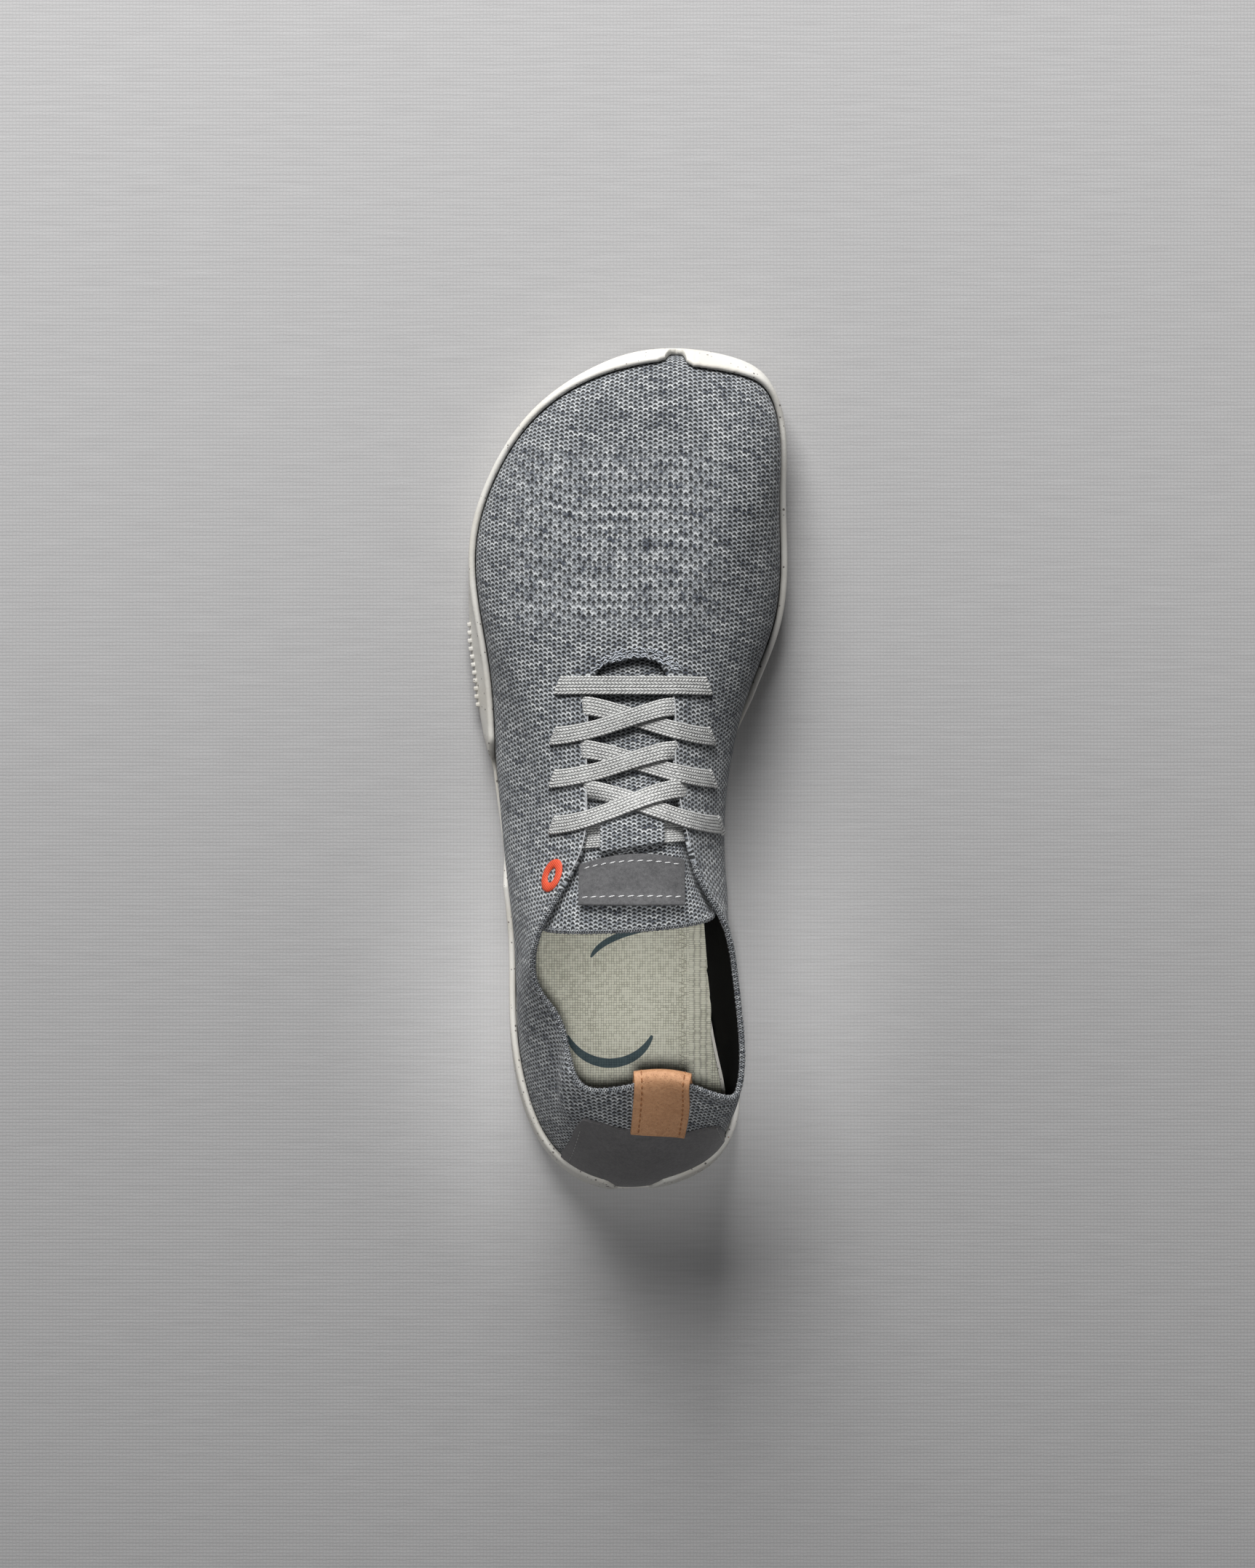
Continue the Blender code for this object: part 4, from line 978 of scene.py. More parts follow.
@dataclass(frozen=True)
class NapFinish(Finish):
    """Suede or leather: one colour family with nap or grain."""

    dark: Colour
    light: Colour
    relief: float = 0.00018
    roughness: float = 0.9
    sheen: float = 0.15
    pores: float = 0.0

    def paint(self, g: Graph) -> None:
        """Lays out its nodes."""
        place = g.place()
        nap = Effect.use(g, "nap", place)
        colour = g.mix(g.climb(nap["Tone"], 0.3, 0.7), self.dark, self.light)
        height = nap["Height"]
        if self.pores > 0:
            pore = g.climb(g.cells(place, 1500.0)["Distance"], 0.3, 0.12)
            height = height - pore * self.pores
            colour = g.shade(colour, pore * -0.25 + 1.0)
        g.dress(colour, g.bump(height, self.relief, 1.0), self.roughness, sheen=self.sheen)


@dataclass(frozen=True)
class WeaveFinish(Finish):
    """Woven cloth for the insole, with painted shade where its threads dip."""

    name: str = "insole_weave"
    pitch: float = 0.00085
    stretch: Triple = (1.0, 1.0, 1.0)
    dark: Colour = (0.42, 0.41, 0.32)
    light: Colour = (0.84, 0.83, 0.7)

    def paint(self, g: Graph) -> None:
        """Lays out its nodes."""
        place = g.place()
        weave = Effect.use(g, "weave", g.scaled(place, self.stretch), Pitch=self.pitch)
        # Painted shade: the tone follows the threads' height, darker where they dip under one
        # another; the thread and noise terms are their own random tone.
        tone = (weave["Thread"] - 0.5) * 0.45 + weave["Height"]
        tone = (g.noise(place, 40.0, 3.0) - 0.5) * 0.5 + tone
        colour = g.mix(g.climb(tone, 0.05, 0.95), self.dark, self.light)
        g.dress(colour, g.bump(weave["Height"], 0.00022, 1.0), 0.9)


@dataclass(frozen=True)
class BraidFinish(Finish):
    """Flat braided lace: rows of slanted strands, turning from row to row, with painted shade
    between the strands.
    """

    name: str = "lace_braid"
    width: float = 0.0062
    rows: float = 6.0
    pitch: float = 0.00115
    dark: Colour = (0.11, 0.11, 0.108)
    light: Colour = (0.64, 0.64, 0.625)

    def paint(self, g: Graph) -> None:
        """Lays out its nodes."""
        across, along, _ = g.parts(g.lay())
        row = across * (self.rows / self.width)
        beside = g.fract(row) - 0.5
        hand = math.floor(row) % 2.0 * 2.0 - 1.0
        run = along / self.pitch + beside * hand * 0.9
        strand = g.climb(abs(g.fract(run) - 0.5), 0.5, 0.15)
        height = (strand * 0.75 + 0.25) * g.climb(abs(beside), 0.5, 0.22)
        cell = g.chance(g.vector(math.floor(row), math.floor(run), 0.7))
        # Painted shade: the tone follows the strands' height, darker between them; the cell and
        # noise terms are the yarn's own random tone.
        tone = (cell - 0.5) * 0.35 + height + (g.noise(g.place(), 70.0, 2.0) - 0.5) * 0.35
        colour = g.mix(g.climb(tone, -0.15, 0.95), self.dark, self.light)
        g.dress(colour, g.bump(height, 0.00035, 0.9), 0.72, sheen=0.1)


@dataclass(frozen=True)
class ThreadFinish(Finish):
    """Sewing thread with a twist, with painted shade in the twist's grooves."""

    colour: Colour
    roughness: float = 0.5

    def paint(self, g: Graph) -> None:
        """Lays out its nodes."""
        place = g.place()
        x, y, _ = g.parts(place)
        twist = g.math("SINE", x * 9000.0 + y * 7000.0) * 0.5 + 0.5
        # Painted shade: part of the tone follows the twist's height, so its grooves are darker; the
        # noise is the thread's own random tone.
        tone = g.noise(place, 900.0, 2.0) * 0.5 + twist * 0.35
        darker = tuple(channel * 0.55 for channel in self.colour)
        colour = g.mix(g.climb(tone, 0.05, 0.65), darker, self.colour)
        g.dress(colour, g.bump(twist, 0.0001, 0.8), self.roughness)


@dataclass(frozen=True)
class FloorFinish(Finish):
    """Pale brushed cloth for the studio's floor, with painted shade where its threads dip."""

    dark: Colour = (0.4, 0.395, 0.395)
    light: Colour = (0.55, 0.545, 0.545)

    def paint(self, g: Graph) -> None:
        """Lays out its nodes."""
        place = g.place()
        weave = Effect.use(g, "weave", place, Pitch=0.0011)
        brushed = g.noise(g.scaled(place, (60.0, 900.0, 1.0)), 1.0, 2.0)
        # Painted shade: part of the tone follows the weave's height, darker where the threads dip;
        # the brushed noise is the cloth's own tone.
        colour = g.mix(weave["Height"] * 0.4 + brushed * 0.6, self.dark, self.light)
        g.dress(colour, g.bump(weave["Height"], 0.00008, 0.6), 0.95)


class Stitches:
    """Dashes of thread: one stitch is modelled once and copied to every place."""

    def __init__(self, width: float, height: float) -> None:
        """Takes a stitch's width and height over what it is sewn to."""
        self.width = width
        self.height = height
        self.points: list[Array] = []
        self.faces: list[list[int]] = []
        self.model = self.one()

    def one(self) -> tuple[Array, list[list[int]]]:
        """One stitch of unit length along X: its points and faces."""
        clear()
        bpy.ops.mesh.primitive_uv_sphere_add(segments=6, ring_count=6, radius=0.5)
        piece = bpy.context.object
        pick(piece)
        bpy.ops.object.mode_set(mode="EDIT")
        bpy.ops.mesh.select_all(action="SELECT")
        middle = (0.0, 0.0, 0.0)
        bpy.ops.transform.rotate(value=math.pi / 2, orient_axis="Y", center_override=middle)
        bpy.ops.object.mode_set(mode="OBJECT")
        points = np.array([v.co for v in piece.data.vertices])
        points[:, 0] = np.sign(points[:, 0]) * np.abs(points[:, 0] * 2) ** 0.7 / 2
        faces = [list(p.vertices) for p in piece.data.polygons]
        bpy.data.objects.remove(piece)
        return points, faces

    def add(self, start: Array, end: Array, normal: Array) -> None:
        """Sews one stitch.

        Args:
            start: where it comes out.
            end: where it goes in.
            normal: the direction away from what it is sewn to.
        """
        along = end - start
        length = float(np.linalg.norm(along))
        ahead = along / length
        across = unit(np.cross(normal, ahead))
        upward = np.cross(ahead, across)
        points, faces = self.model
        placed = (start + end) / 2 + np.outer(points[:, 0] * length, ahead)
        placed = placed + np.outer(points[:, 1] * self.width, across)
        placed = placed + np.outer(points[:, 2] * self.height, upward)
        first = sum(len(p) for p in self.points)
        self.points.append(placed)
        self.faces += [[first + i for i in face] for face in faces]

    def row(
        self, path: Array, normals: Array, length: float, gap: float, slant: float = 0.0
    ) -> None:
        """Sews a row of stitches along a path.

        Args:
            path: points of the row.
            normals: the direction away from the cloth at each.
            length: a stitch's length.
            gap: the gap between two.
            slant: how far a stitch's end leans aside, as a share of its length.
        """
        run = run_along(path)
        count = max(1, int((run[-1] + gap) / (length + gap)))
        pitch = (run[-1] + gap) / count
        for k in range(count):
            ends = at_lengths(path, run, np.array([k * pitch, k * pitch + pitch - gap]))
            normal = unit(at_lengths(normals, run, (k + 0.5) * pitch))
            aside = np.cross(normal, ends[1] - ends[0]) * slant / 2
            self.add(ends[0] - aside, ends[1] + aside, normal)

    def piece(self, name: str) -> Piece:
        """All the stitches as one object."""
        mesh = bpy.data.meshes.new(name)
        mesh.from_pydata(np.concatenate(self.points).tolist(), [], self.faces)
        made = bpy.data.objects.new(name, mesh)
        bpy.context.collection.objects.link(made)
        weld(made)
        smooth(made, 80.0)
        return made


@dataclass(frozen=True)
class Crease:
    """A soft trough or ridge between places on the wall, each a turn and a share."""

    ends: Pairs
    width: float
    rise: float


def rope(
    name: str,
    path: Array,
    radius: Array,
    sides: int = 8,
    around: Array | Sequence[float] = (0.0, 0.0, 1.0),
) -> Piece:
    """A closed tube along a path.

    Args:
        name: the object's name.
        path: its points.
        radius: its radius at each.
        sides: how many sides it has.
        around: the direction away from what it lies on, one for all points or for each.

    Returns:
        The object.
    """
    ahead = unit(np.gradient(path, axis=0))
    across = unit(np.cross(around, ahead))
    upward = np.cross(ahead, across)
    turn = np.linspace(0, 2 * math.pi, sides + 1)
    ring = np.cos(turn)[None, :, None] * across[:, None, :]
    ring = ring + np.sin(turn)[None, :, None] * upward[:, None, :]
    points = path[:, None, :] + ring * radius[:, None, None]
    points = np.concatenate([path[:1, None, :].repeat(sides + 1, 1), points])
    points = np.concatenate([points, path[-1:, None, :].repeat(sides + 1, 1)])
    run = np.pad(run_along(path), 1, mode="edge")
    plan = np.stack(np.meshgrid(turn * float(np.max(radius)), run), axis=-1)
    return sheet(name, points, plan, closed=True)


@dataclass
class Upper:
    """The knitted upper with its lining, the collar's looped edge and the throat's trim."""

    last: Last
    columns: int = 400
    rows: int = 64
    lining_rows: int = 34
    wall: float = 0.0018
    roll_steps: int = 5
    heel_turn: float = 0.509
    slit_width: float = 0.0012
    slit_length: float = 0.0064
    slit_alongs: tuple[float, ...] = (0.596, 0.538, 0.489, 0.436)
    lateral_setback: float = 0.01
    medial_setback: float = 0.0112
    slit_slant: float = 0.37
    let_out: float = 0.62
    row_tilt: float = 0.33
    tack_rows: Pairs = ((0.0, 0.9), (1.0, 0.98), (2.1, 1.0), (3.2, 0.96))
    tacks_a_row: int = 30
    ring_centre: Pair = (759.0, 1204.0)
    ring_half: Pair = (8.3, 17.2)
    ring_lean: float = 21.0
    ring_tube: Pair = (0.00155, 0.0006)
    creases: tuple[Crease, ...] = (
        Crease(((0.452, 0.99), (0.462, 0.8), (0.47, 0.62)), 0.004, 0.0011),
        Crease(((0.438, 0.97), (0.446, 0.78), (0.452, 0.55)), 0.0045, -0.0009),
        Crease(((0.574, 0.98), (0.566, 0.8)), 0.004, -0.0008),
        Crease(((0.34, 0.9), (0.352, 0.6), (0.372, 0.35)), 0.007, -0.0007),
        Crease(((0.7, 0.92), (0.69, 0.66), (0.668, 0.42)), 0.007, -0.0007),
        Crease(((0.205, 0.4), (0.25, 0.52), (0.29, 0.55)), 0.006, -0.0005),
        Crease(((0.85, 0.5), (0.815, 0.6), (0.775, 0.62)), 0.006, -0.0005),
    )
    piece: Optional[Piece] = None

    def turns(self) -> Array:
        """Turns of the columns, from the heel round to the heel."""
        return self.heel_turn + np.linspace(0.0, 1.0, self.columns + 1)

    def shares(self) -> Array:
        """Shares of the rows."""
        return np.linspace(0.0, 1.0, self.rows)

    def relief(self, turns: Array, shares: Array) -> Array:
        """How far the creases move the face out.

        Args:
            turns: turns of the columns.
            shares: shares of the rows.

        Returns:
            A distance for each turn and share.
        """
        plain = self.last.wall(turns, shares)
        moved = np.zeros(plain.shape[:2])
        for crease in self.creases:
            ends = np.array([self.last.wall([t], [s])[0, 0] for t, s in crease.ends])
            line = row_of(ends, 25)
            away = np.linalg.norm(plain[:, :, None, :] - line[None, None, :, :], axis=3)
            nearest = away.argmin(axis=2)
            along = nearest / 24.0
            fade = smooth_step(-0.15, 0.35, along) * smooth_step(1.15, 0.65, along)
            moved += crease.rise * fade * np.exp(-((away.min(axis=2) / crease.width) ** 2))
        edge = smooth_step(0.0, 0.1, shares)[None, :]
        return moved * edge

    def lay(self, turns: Array, shares: Array) -> Array:
        """The knit's coordinates: the plan, let out where the face falls away steeply.

        Args:
            turns: turns of the columns.
            shares: shares of the rows.

        Returns:
            Columns by rows by two, in metres: along the knit's rows and down its wales.
        """
        faces = self.last.wall(turns, shares)
        order = -1 if shares[0] < shares[-1] else 1
        ordered = faces[:, ::order]
        steps = np.diff(ordered, axis=1)
        away = unit(self.last.outline(turns)[1])
        flat = np.linalg.norm(steps[:, :, :2], axis=2)
        outward = np.clip(4 * (steps[:, :, :2] * away[:, None]).sum(axis=2) / (flat + 1e-9), -1, 1)
        gained = (np.linalg.norm(steps, axis=2) - flat * outward).cumsum(axis=1)
        surplus = np.concatenate([np.zeros((len(turns), 1)), gained], axis=1)[:, ::order]
        laid = faces[:, :, :2] + away[:, None, :] * surplus[..., None] * self.let_out
        across = faces[:, :, 0]
        aside = np.minimum(across + 0.015, 0) + np.maximum(across - 0.02, 0)
        laid[..., 1] += self.row_tilt * aside
        return laid

    def slit_place(self, along: float, side: Side) -> Array:
        """Where a lace slit stands, in plan, laid out from the heel's back."""
        edge = self.last.throat_edge(along * self.last.length, side)
        back = self.lateral_setback if side is Side.LATERAL else self.medial_setback
        return np.array([edge[0] + side.value * back, edge[1]])

    def build(self, knit: Material, lining: Material) -> Piece:
        """Models the hollow wall, dresses it and cuts its slits.

        Args:
            knit: the outside's material.
            lining: the inside's.

        Returns:
            The upper.
        """
        turns, shares = self.turns(), self.shares()
        relief = self.relief(turns, shares)
        outer = self.last.wall(turns, shares, relief)
        inside = np.linspace(1.0, 0.0, self.lining_rows)
        under = np.array([np.interp(inside, shares, line) for line in relief])
        inner = self.last.wall(turns, inside, under - self.wall)
        inner[:, -1, 2] = outer[:, 0, 2]
        upward = unit(outer[:, -1] - outer[:, -2])
        middle, half = (outer[:, -1] + inner[:, 0]) / 2, (outer[:, -1] - inner[:, 0]) / 2
        roll = []
        for angle in np.linspace(0, math.pi, self.roll_steps + 2)[1:-1]:
            bulge = upward * math.sin(angle) * self.wall / 2
            roll.append(middle + half * math.cos(angle) + bulge)
        rolled = np.stack(roll, axis=1)
        points = np.concatenate([outer, rolled, inner, outer[:, :1]], axis=1)
        laid = self.lay(turns, shares)
        over = laid[:, -1:] + (laid[:, -1:] - laid[:, -2:-1]) * np.linspace(0.1, 0.6, 5)[:, None]
        back = self.lay(turns, inside)
        plan = np.concatenate([laid, over[:, : self.roll_steps], back, laid[:, :1]], axis=1)
        points, plan = np.swapaxes(points, 0, 1), np.swapaxes(plan, 0, 1)
        piece = sheet("upper_knit", points, plan)
        piece.data.materials.append(knit)
        piece.data.materials.append(lining)
        indices = np.zeros(len(piece.data.polygons), np.int32)
        indices[(self.rows + self.roll_steps) * self.columns :] = 1
        piece.data.polygons.foreach_set("material_index", indices)
        weld(piece)
        self.cut_slits(piece)
        smooth(piece, 60.0)
        self.piece = settle(piece, knit, ["upper"])
        return piece

    def cut_slits(self, piece: Piece) -> None:
        """Cuts the eight slits that the lace runs through."""
        skin = Skin([piece])
        cutters = []
        for side in Side:
            for along in self.slit_alongs:
                x, y = self.last.home(self.slit_place(along, side))
                hit, normal, _, _ = skin.tree.ray_cast(Vector((x, y, 1.0)), Vector((0, 0, -1)))
                upward = np.array(normal) * (1.0 if normal.z > 0 else -1.0)
                level = unit(np.array([1.0, side.value * self.slit_slant, 0.0]))
                length = unit(np.cross(level, upward))
                across = np.cross(length, upward)
                size = (self.slit_width, self.slit_length, self.wall * 4)
                cutters.append(block(np.array(hit), size, (across, length, upward)))
        combine(piece, "DIFFERENCE", cutters)

    def build_loops(self, knit: Material) -> Piece:
        """The collar's edge: a row of small loops round from one flap to the other."""
        turns = np.linspace(0.296, 0.752, 1500)
        top = self.last.wall(turns, [0.96, 1.0], -self.wall / 2)
        upward = unit(top[:, 1] - top[:, 0])
        path = top[:, 1] + upward * self.wall * 0.25
        run = run_along(path)
        beat = np.abs(np.sin(np.pi * round(run[-1] / 0.00155) * run / run[-1]))
        wander = 0.15 * np.sin(run * 700.0) + 0.1 * np.sin(run * 1731.0 + 1.0)
        radius = 0.00062 + 0.00038 * beat**0.7 * (1 + wander)
        ends = smooth_step(0.0, 0.006, run) * smooth_step(run[-1], run[-1] - 0.006, run)
        radius *= 0.35 + 0.65 * ends
        piece = rope("collar_loops", path, radius, 8, upward)
        return settle(piece, knit)

    def build_piping(self, thread: Material) -> list[Piece]:
        """The thin light line along each flap's edge, beside the lace."""
        made = []
        for name, low, high in (("lateral", 0.128, 0.292), ("medial", 0.756, 0.886)):
            turns = np.linspace(low, high, 120)
            line = self.last.wall(turns, [1.0], -0.0002)[:, 0]
            upward = unit(line - self.last.wall(turns, [0.97], -0.0002)[:, 0])
            fade = np.sin(np.linspace(0, math.pi, len(turns))) ** 0.3
            piece = rope(f"flap_piping_{name}", line + upward * 0.0008, 0.0003 * fade + 2e-5, 6)
            made.append(settle(piece, thread))
        return made

    def build_throat_band(self, thread: Material) -> Piece:
        """The glossy tacks over the throat's front."""
        tacks = Stitches(0.00042, 0.00045)
        skin = Skin([self.piece])
        draw = np.random.default_rng(11)
        for row, reach in self.tack_rows:
            for k in range(self.tacks_a_row):
                t = (k + draw.uniform(0.2, 0.8)) / self.tacks_a_row
                side = (t - 0.5) * 2 * reach
                across = 876 + side * 60
                down = 903 + 25 * side**2 - row * 3.8 + draw.uniform(-1.2, 1.2)
                lean = draw.uniform(-2.2, 2.2)
                points = []
                for dx, dy in ((-2.4, lean), (2.4, -lean)):
                    seen = skin.under_pixel(across + dx, down + dy + 0.5 * side * dx)
                    if seen is not None and seen[0][2] > 0.035:
                        points.append(seen[0] + seen[1] * 0.00012)
                if draw.uniform() < 0.78 and len(points) == 2:
                    tacks.add(points[0], points[1], seen[1])
        return settle(tacks.piece("throat_tacks"), thread)

    def build_ring(self, thread: Material) -> Piece:
        """The embroidered oval ring on the lateral quarter."""
        skin = Skin([self.piece])
        centre, half, lean = self.ring_centre, self.ring_half, math.radians(self.ring_lean)
        turns = np.linspace(0, 2 * math.pi, 73)
        path, normals = [], []
        for turn in turns:
            x, y = half[0] * math.cos(turn), half[1] * math.sin(turn)
            across = centre[0] + x * math.cos(lean) - y * math.sin(lean)
            down = centre[1] + x * math.sin(lean) + y * math.cos(lean)
            point, normal = skin.under_pixel(across, down)
            path.append(point)
            normals.append(normal)
        path, normals = np.array(path), np.array(normals)
        ahead = np.gradient(path, axis=0)
        ahead[0] = ahead[-1] = path[1] - path[-2]
        across = unit(np.cross(normals, unit(ahead)))
        ring = np.linspace(0, 2 * math.pi, 13)
        width, height = self.ring_tube
        satin = 1 + 0.05 * np.sin(np.arange(len(turns)) * 2.4)
        points = path[:, None] + across[:, None] * np.cos(ring)[None, :, None] * width
        lift = np.sin(ring)[None, :, None] * height * satin[:, None, None]
        points = points + normals[:, None] * (lift + 0.00015)
        piece = sheet("quarter_ring", points, closed=True)
        return settle(piece, thread)


@dataclass
class Outsole:
    """The cupped rubber sole with its rim, ribs and flex grooves."""

    last: Last
    even_columns: int = 460
    rim_rows: int = 9
    crest_steps: int = 6
    groove_width: float = 0.0022
    groove_depth: float = 0.0013
    groove_wave: float = 0.003
    groove_section: Pairs = (
        (-0.5, -0.004), (-0.5, 0.6), (-0.3, 1.0), (0.3, 1.0), (0.5, 0.6), (0.5, -0.004),
        (-0.5, -0.004),
    )
    rib_count: int = 11
    rib_size: Triple = (0.0018, 0.0014, 0.0036)
    grooves: tuple[Triple, ...] = (
        (0.1, 0.26, 0.28), (0.165, 0.3, 0.27), (0.23, 0.31, 0.24), (0.6, 0.42, 0.34),
        (0.665, 0.44, 0.4), (0.73, 0.44, 0.43), (0.795, 0.41, 0.43), (0.86, 0.35, 0.42),
    )

    def turns(self) -> Array:
        """Turns of the columns, closer where the rim starts and ends."""
        even = np.arange(self.even_columns) / self.even_columns
        steep = [r[0] % 1.0 for r in RIM if r[1] < 0.7 or abs(r[0]) < 0.012]
        near = [(s + d) % 1.0 for s in steep for d in np.arange(-3, 4) * 0.0006]
        return np.unique(np.round(np.concatenate([even, near]), 5))

    def build(self, rubber: Material) -> Piece:
        """Models the sole from rings, cuts its grooves and sets its ribs on."""
        last = self.last
        turns = self.turns()
        line, away = last.feather(turns)
        height, stand = last.rim(turns)
        edge = line[:, :2] + away * (last.seat_gap + stand)[:, None]
        drawn = np.clip(1 - stand / last.rim_wall, 0.0, 1.0)
        thick = last.rim_wall * (1 - 0.62 * drawn)
        rings = [last.floor_ring(edge, share, 0.0) for share in (0.02, 0.2, 0.4, 0.6, 0.8, 0.92)]
        for angle in np.radians([0, 20, 40, 60, 80, 90]):
            inset = last.edge_round * 1.5 * (1 - math.sin(angle))
            flat = edge - away * inset
            lift = last.edge_round * 1.5 * (1 - math.cos(angle))
            rings.append(np.column_stack([flat, last.ground(flat[:, 1]) + lift]))
        rings = [last.home(ring) for ring in rings]
        crest = np.maximum(height - thick / 2, height * 0.35)
        steps = np.linspace(0.0, 1.0, self.rim_rows)
        shares = np.column_stack([last.share_at_height(turns, crest * step) for step in steps])
        outer = last.wall(turns, shares, (last.seat_gap + thick)[:, None])
        spare = np.maximum(stand - last.rim_wall, 0.0)
        flutes = self.flutes(turns)
        for k in range(1, self.rim_rows):
            step = k / (self.rim_rows - 1)
            ring = outer[:, k].copy()
            ring[:, :2] += away * (spare * (1 - step) ** 1.2 + flutes * step)[:, None]
            if k == 1:
                blend = (drawn * 0.5)[:, None]
                ring = ring * (1 - blend) + (rings[-1] + (ring - rings[-1]) * 0.6) * blend
            rings.append(ring)
        for angle in np.linspace(0, math.pi, self.crest_steps + 2)[1:-1]:
            climb = crest + (height - crest) * math.sin(angle)
            out = last.seat_gap + thick * (0.5 + 0.5 * math.cos(angle))
            share = last.share_at_height(turns, climb)[:, None]
            ring = last.wall(turns, share, out[:, None])[:, 0]
            ring[:, :2] += away * (flutes * (0.5 + 0.5 * math.cos(angle)))[:, None]
            rings.append(ring)
        for step in (1.0, 0.5, 0.0):
            share = last.share_at_height(turns, crest * step)[:, None]
            rings.append(last.wall(turns, share, last.seat_gap)[:, 0])
        seat = rings[-1]
        seat[:, 2] = last.ground(seat[:, 1] - HEEL_TO_FRAME[1]) + last.sole_thickness
        flat = seat[:, :2] - np.array(HEEL_TO_FRAME)
        for share in (0.84, 0.45, 0.02):
            rings.append(last.home(last.floor_ring(flat, share, last.sole_thickness)))
        piece = sheet("outsole_rubber", capped(looped(np.array(rings))), closed=True)
        self.cut_grooves(piece)
        self.set_ribs(piece)
        smooth(piece)
        return settle(piece, rubber, ["outsole"])

    def flutes(self, turns: Array) -> Array:
        """Small pleats pinched into the rim at the big toe's front and by the heel's notch."""
        spans = ((0.962, 0.995, 0.004, 0.00022), (0.478, 0.498, 0.0036, 0.00035))
        moved = np.zeros(len(turns))
        for low, high, pitch, depth in spans:
            within = smooth_step(low, low + 0.006, turns) * smooth_step(high, high - 0.004, turns)
            wave = 0.5 + 0.5 * np.sin(turns * 2 * math.pi / pitch + np.sin(turns * 900.0))
            moved -= within * wave**2 * depth
        return moved

    def cut_grooves(self, piece: Piece) -> None:
        """Cuts the wavy flex grooves across the tread."""
        tools = []
        for along, lateral, medial in self.grooves:
            across = np.linspace(-lateral, medial, 25) * self.last.ball
            wave = np.cos(np.linspace(-1.5 * math.pi, 1.5 * math.pi, 25)) * self.groove_wave
            centre = along * self.last.length + wave
            height = self.last.ground(centre)
            rows = []
            for side, lift in self.groove_section:
                top = self.groove_depth * lift if lift > 0 else lift
                aside = centre + side * self.groove_width
                rows.append(np.column_stack([across, aside, height + top]))
            points = capped(np.swapaxes(self.last.home(np.array(rows)), 0, 1))
            tools.append(sheet("groove_tool", np.swapaxes(points, 0, 1), closed=True))
        combine(piece, "DIFFERENCE", tools)

    def set_ribs(self, piece: Piece) -> None:
        """Sets the short upright ribs on the flared side beside the little toe's joint."""
        last = self.last
        turns = np.linspace(0.1925, 0.233, self.rib_count)
        points, away = last.feather(turns)
        _, stand = last.rim(turns)
        ribs = []
        for point, direction, reach in zip(points, away, stand):
            outwards = np.append(direction, 0.0)
            across = np.cross(UP, outwards)
            base = float(last.ground(point[1])) + last.edge_round * 1.5
            centre = np.array([point[0], point[1], base + self.rib_size[2] / 2])
            centre += outwards * (last.seat_gap + reach - 0.0003)
            rib = block(last.home(centre), self.rib_size, (outwards, across, UP))
            apply(rib, "BEVEL", width=0.0003, segments=2)
            ribs.append(rib)
        combine(piece, "UNION", ribs)


